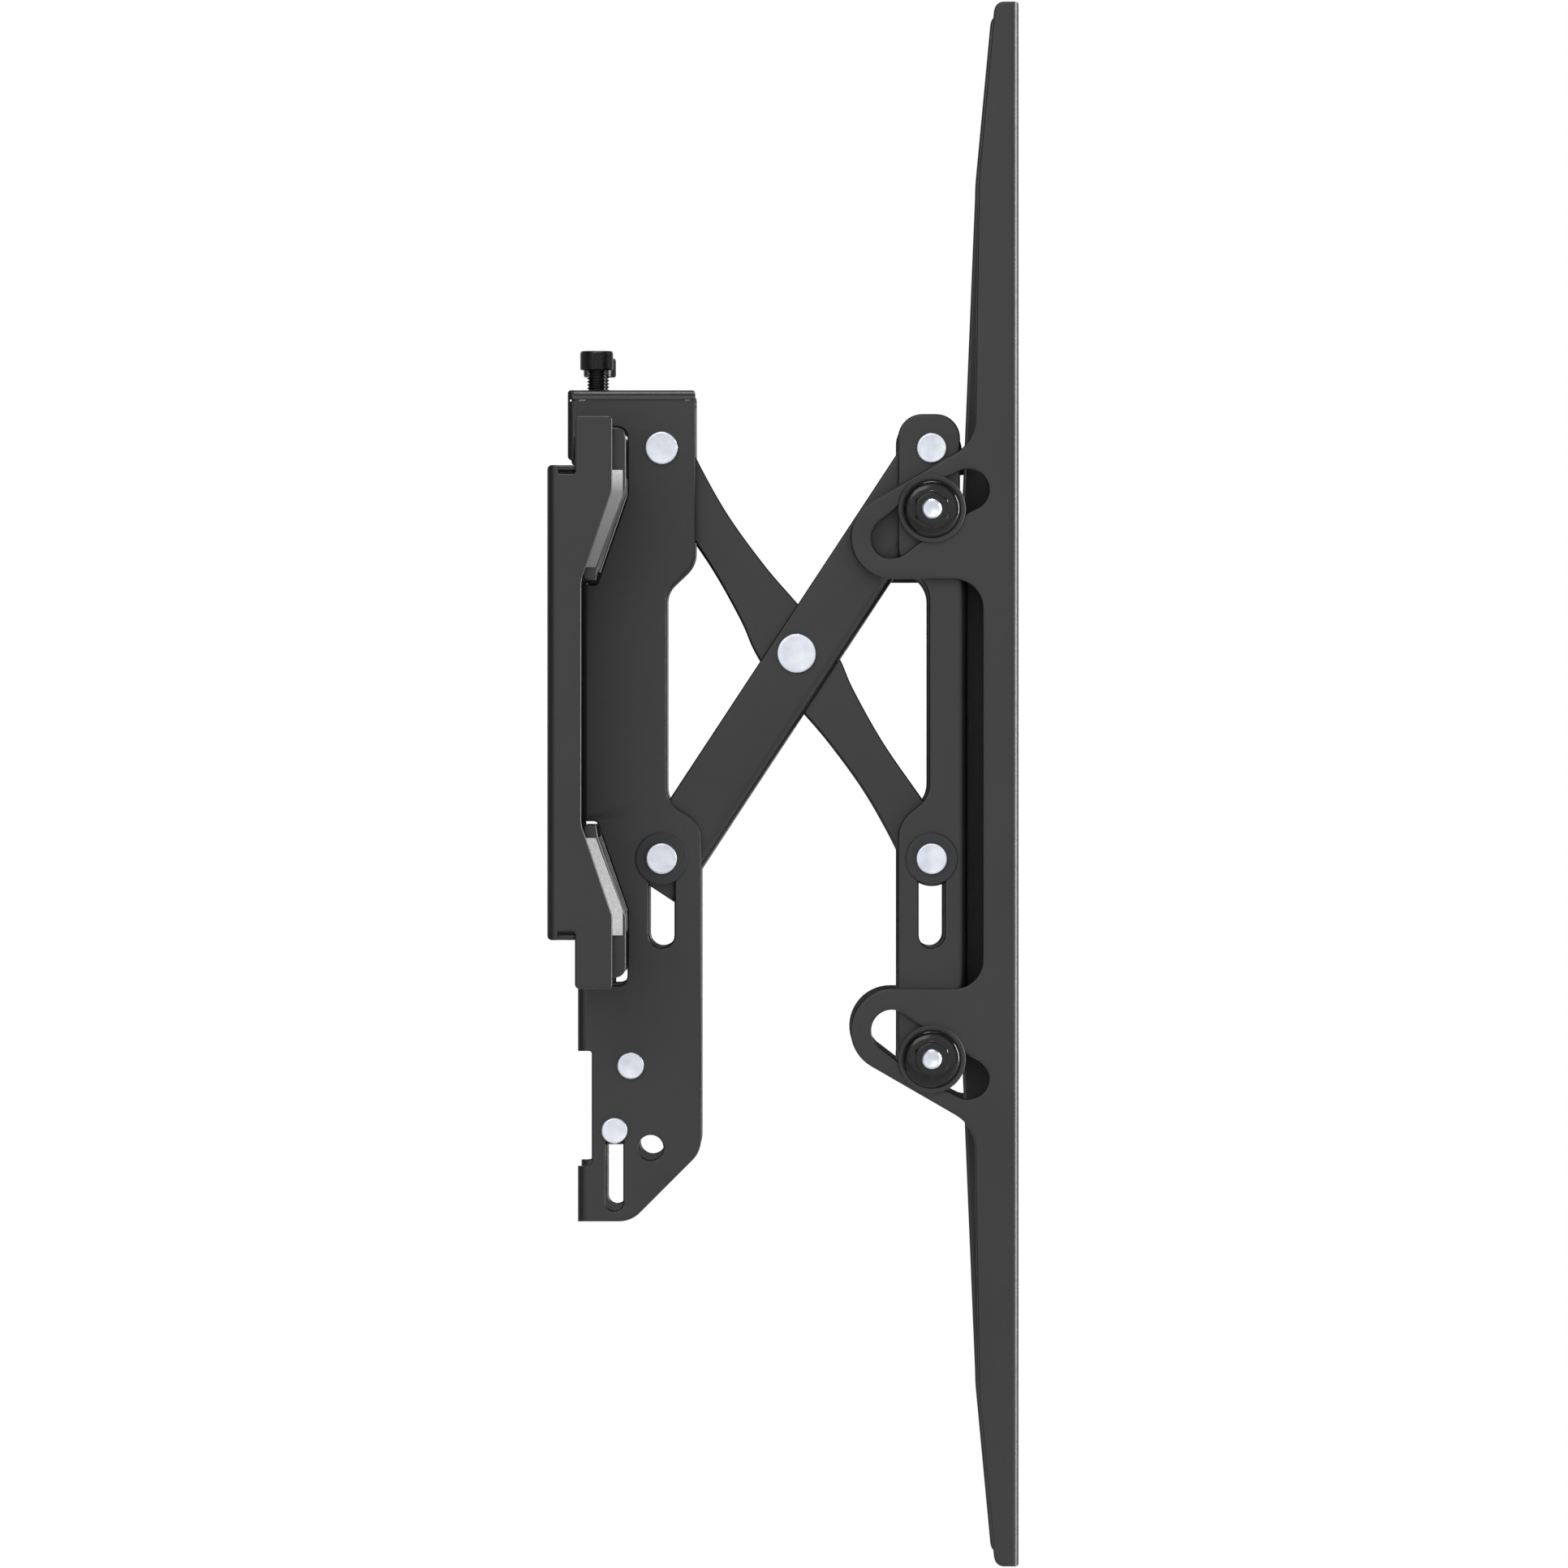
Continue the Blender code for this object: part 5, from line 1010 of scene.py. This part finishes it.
def satin_zinc():
    """Bright zinc plate on pressed steel: pale, slightly blue, with a faint satin from tumbling."""
    made, tree, shader, place = new_material("satin_zinc_plate", "#d3d7df", 0.85, 0.34)
    grit = node(tree, "ShaderNodeTexNoise", Vector=place, Scale=1 / (0.35 * MM), Detail=4.0, Roughness=0.7)
    patch = node(tree, "ShaderNodeTexNoise", Vector=place, Scale=1 / (4 * MM), Detail=2.0)
    tone = wander(tree, patch.outputs["Fac"], 0.3, 0.7, "#bfc4cf", "#d5d9e0")
    link(tree, tone, shader.inputs["Base Color"])
    link(tree, ramp(tree, grit.outputs["Fac"], 0.3, 0.7, 0.28, 0.42), shader.inputs["Roughness"])
    bump = node(tree, "ShaderNodeBump", Height=grit.outputs["Fac"], Strength=0.08, Distance=0.03 * MM)
    link(tree, bump.outputs["Normal"], shader.inputs["Normal"])
    return made


def dark_plate(name, light, dark, metallic, rough_from, rough_to):
    """A thin dark finish over machined steel, with slight unevenness in its gloss."""
    made, tree, shader, place = new_material(name, light, metallic, rough_from)
    grit = node(tree, "ShaderNodeTexNoise", Vector=place, Scale=1 / (0.8 * MM), Detail=3.0)
    tone = wander(tree, grit.outputs["Fac"], 0.35, 0.65, dark, light)
    link(tree, tone, shader.inputs["Base Color"])
    link(tree, ramp(tree, grit.outputs["Fac"], 0.3, 0.7, rough_from, rough_to), shader.inputs["Roughness"])
    bump = node(tree, "ShaderNodeBump", Height=grit.outputs["Fac"], Strength=0.06, Distance=0.03 * MM)
    link(tree, bump.outputs["Normal"], shader.inputs["Normal"])
    return made


def black_nylon():
    """Moulded nylon, left as it came out of the tool: matt, faintly blue-black, fine spark texture."""
    made, tree, shader, place = new_material("black_nylon", "#1b1c20", 0.0, 0.55)
    spark = node(tree, "ShaderNodeTexNoise", Vector=place, Scale=1 / (0.3 * MM), Detail=3.0)
    link(tree, ramp(tree, spark.outputs["Fac"], 0.3, 0.7, 0.5, 0.64), shader.inputs["Roughness"])
    bump = node(tree, "ShaderNodeBump", Height=spark.outputs["Fac"], Strength=0.15, Distance=0.04 * MM)
    link(tree, bump.outputs["Normal"], shader.inputs["Normal"])
    return made


LOOKS = {
    "powder_coat": powder_coat(),
    "bright_zinc": satin_zinc(),
    # black oxide on a turned and knurled alloy screw: deep black with an oily gloss
    "black_oxide": dark_plate("black_oxide_steel", "#2a2a2b", "#1d1d1e", 0.6, 0.16, 0.26),
    # black-passivated zinc on a cold-formed nut: glassy black
    "black_zinc": dark_plate("black_zinc_plate", "#1c1c1d", "#131314", 0.5, 0.08, 0.18),
    "nylon": black_nylon(),
    # hard-drawn spring wire, oiled: grey steel with drawing marks
    "spring_steel": dark_plate("drawn_spring_wire", "#a5a8ad", "#86898e", 1.0, 0.22, 0.34),
}


# ---------------- assembly
def shade(piece, look):
    select(piece)
    bpy.ops.object.shade_smooth_by_angle(angle=math.radians(35))
    apply(piece, "WEIGHTED_NORMAL", keep_sharp=True, weight=80)
    piece.data.materials.clear()
    piece.data.materials.append(LOOKS[look])


def other_hand(piece):
    """The same piece for the other arm, a mirror image about the middle of the band."""
    copy = piece.copy()
    copy.data = piece.data.copy()
    copy.name = piece.name.replace("left_", "right_", 1)
    bpy.context.scene.collection.objects.link(copy)
    copy.data.transform(Matrix.Scale(-1, 4, (0, 1, 0)))
    copy.data.flip_normals()
    return copy


SLOTS = {row["node"]: row["material_slot"] for row in frame["record"]["subparts"]}
BODIES = {name: body for body, names in frame["record"]["behaviour"]["bodies"].items() for name in names}


def place_piece(piece, cad_node):
    look = SLOTS[cad_node]
    shade(piece, look)
    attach(piece, BODIES[cad_node])
    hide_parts(cad_node)


def place_spring(spring, tag):
    """Shades the spring and bakes it where it is made; it is attached to no body, so neither hook follows the
    latch pin.
    """
    look = SLOTS[f"{tag}_latch_spring"]
    shade(spring, look)
    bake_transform(spring)
    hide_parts(f"{tag}_latch_spring")


place_piece(make_band(), "wall_band")
pieces = {"arm_bracket": make_bracket(), "straight_arm": make_straight_arm(),
          "curved_arm_outer": make_curved_arm(1), "curved_arm_inner": make_curved_arm(-1),
          "front_channel": make_front_channel(), "display_rail": make_rail(), **make_pins(),
          "levelling_screw": make_screw(), "screw_nut": make_screw_nut(), "screw_foot": make_foot(),
          **make_tilt_fastener("upper", STUDS[0]), **make_tilt_fastener("lower", STUDS[1]),
          "latch_plate": make_latch()}
for part, piece in pieces.items():
    twin = other_hand(piece)
    place_piece(piece, f"left_{part}")
    place_piece(twin, f"right_{part}")
spring = make_spring()
place_spring(other_hand(spring), "right")
place_spring(spring, "left")


# ---------------- stage
FLOOR_Z = -0.36
FRONT_GLOW, REAR_GLOW, BELT_GLOW = 1.15, 0.75, 0.14     # the tent before, behind and round the mount
SPAN = 483 * MM                 # height of the view
DISTANCE = 22.8
SOFTBOXES = {                   # place, aim, size and power
    "front_key": ((-0.6, -2.4, 1.1), (0.07, -0.2, 0), (1.2, 0.9), 12),
    "right_strip": ((1.9, -0.3, 0.35), (0.07, -0.2, 0), (0.35, 1.3), 55),
    "top_sheet": ((0.1, -0.2, 1.9), (0.07, -0.1, 0), (1.2, 0.35), 18),
}


def make_floor():
    bpy.ops.mesh.primitive_plane_add(size=5, location=(0, 0, FLOOR_Z))
    floor = bpy.context.active_object
    floor.name = "floor"
    # painted board, matt enough that nothing shows in it
    look, *_, shader, _ = new_material("pale_floor", "#f4f4f4", 0.0, 0.6)
    shader.inputs["Specular IOR Level"].default_value = 0.2
    floor.data.materials.append(look)
    settle(floor)


def add_softbox(name, spot, aim, size, power):
    lamp = bpy.data.lights.new(name, "AREA")
    lamp.shape = "RECTANGLE"
    lamp.size, lamp.size_y = size
    lamp.energy = power
    holder = add_object(name, lamp)
    holder.location = spot
    holder.rotation_euler = (Vector(aim) - Vector(spot)).to_track_quat("-Z", "Y").to_euler()


def make_world():
    """A white tent: bright in front and behind, with a dim belt round the sides."""
    world = bpy.data.worlds.new("light_tent")
    bpy.context.scene.world = world
    world.use_nodes = True
    tree = world.node_tree
    tree.nodes.clear()
    place = node(tree, "ShaderNodeTexCoord")
    axes = node(tree, "ShaderNodeSeparateXYZ", Vector=place.outputs["Generated"])
    front = ramp(tree, axes.outputs["Y"], -0.85, -0.55, FRONT_GLOW, 0.0)
    rear = ramp(tree, axes.outputs["Y"], 0.55, 0.9, 0.0, REAR_GLOW)
    glow = node(tree, "ShaderNodeMath", {"operation": "ADD"}, i0=front, i1=rear)
    level = node(tree, "ShaderNodeMath", {"operation": "ADD"}, i0=glow.outputs[0], i1=BELT_GLOW)
    tent = node(tree, "ShaderNodeBackground", Color=(1, 1, 1, 1), Strength=level.outputs[0])
    backdrop = node(tree, "ShaderNodeBackground", Color=(1, 1, 1, 1), Strength=1.0)
    ray = node(tree, "ShaderNodeLightPath")
    mixed = node(tree, "ShaderNodeMixShader", Fac=ray.outputs["Is Camera Ray"], i1=tent.outputs[0],
                 i2=backdrop.outputs[0])
    node(tree, "ShaderNodeOutputWorld", Surface=mixed.outputs[0])


def make_camera():
    """Level, square to the side of the mount, and far enough off to show it nearly without depth."""
    lens = bpy.data.cameras.new("camera")
    lens.sensor_width = 36
    lens.lens = lens.sensor_width * DISTANCE / SPAN
    lens.clip_start, lens.clip_end = 1.0, 60.0
    holder = add_object("camera", lens)
    holder.location = (72.75 * MM, ARM_Y - CHANNEL_U - DISTANCE, TILT_MID_Z)
    holder.rotation_euler = (math.pi / 2, 0, 0)
    bpy.context.scene.camera = holder


make_floor()
make_world()
for lamp, settings in SOFTBOXES.items():
    add_softbox(lamp, *settings)
make_camera()
bpy.context.scene.view_settings.view_transform = "Standard"
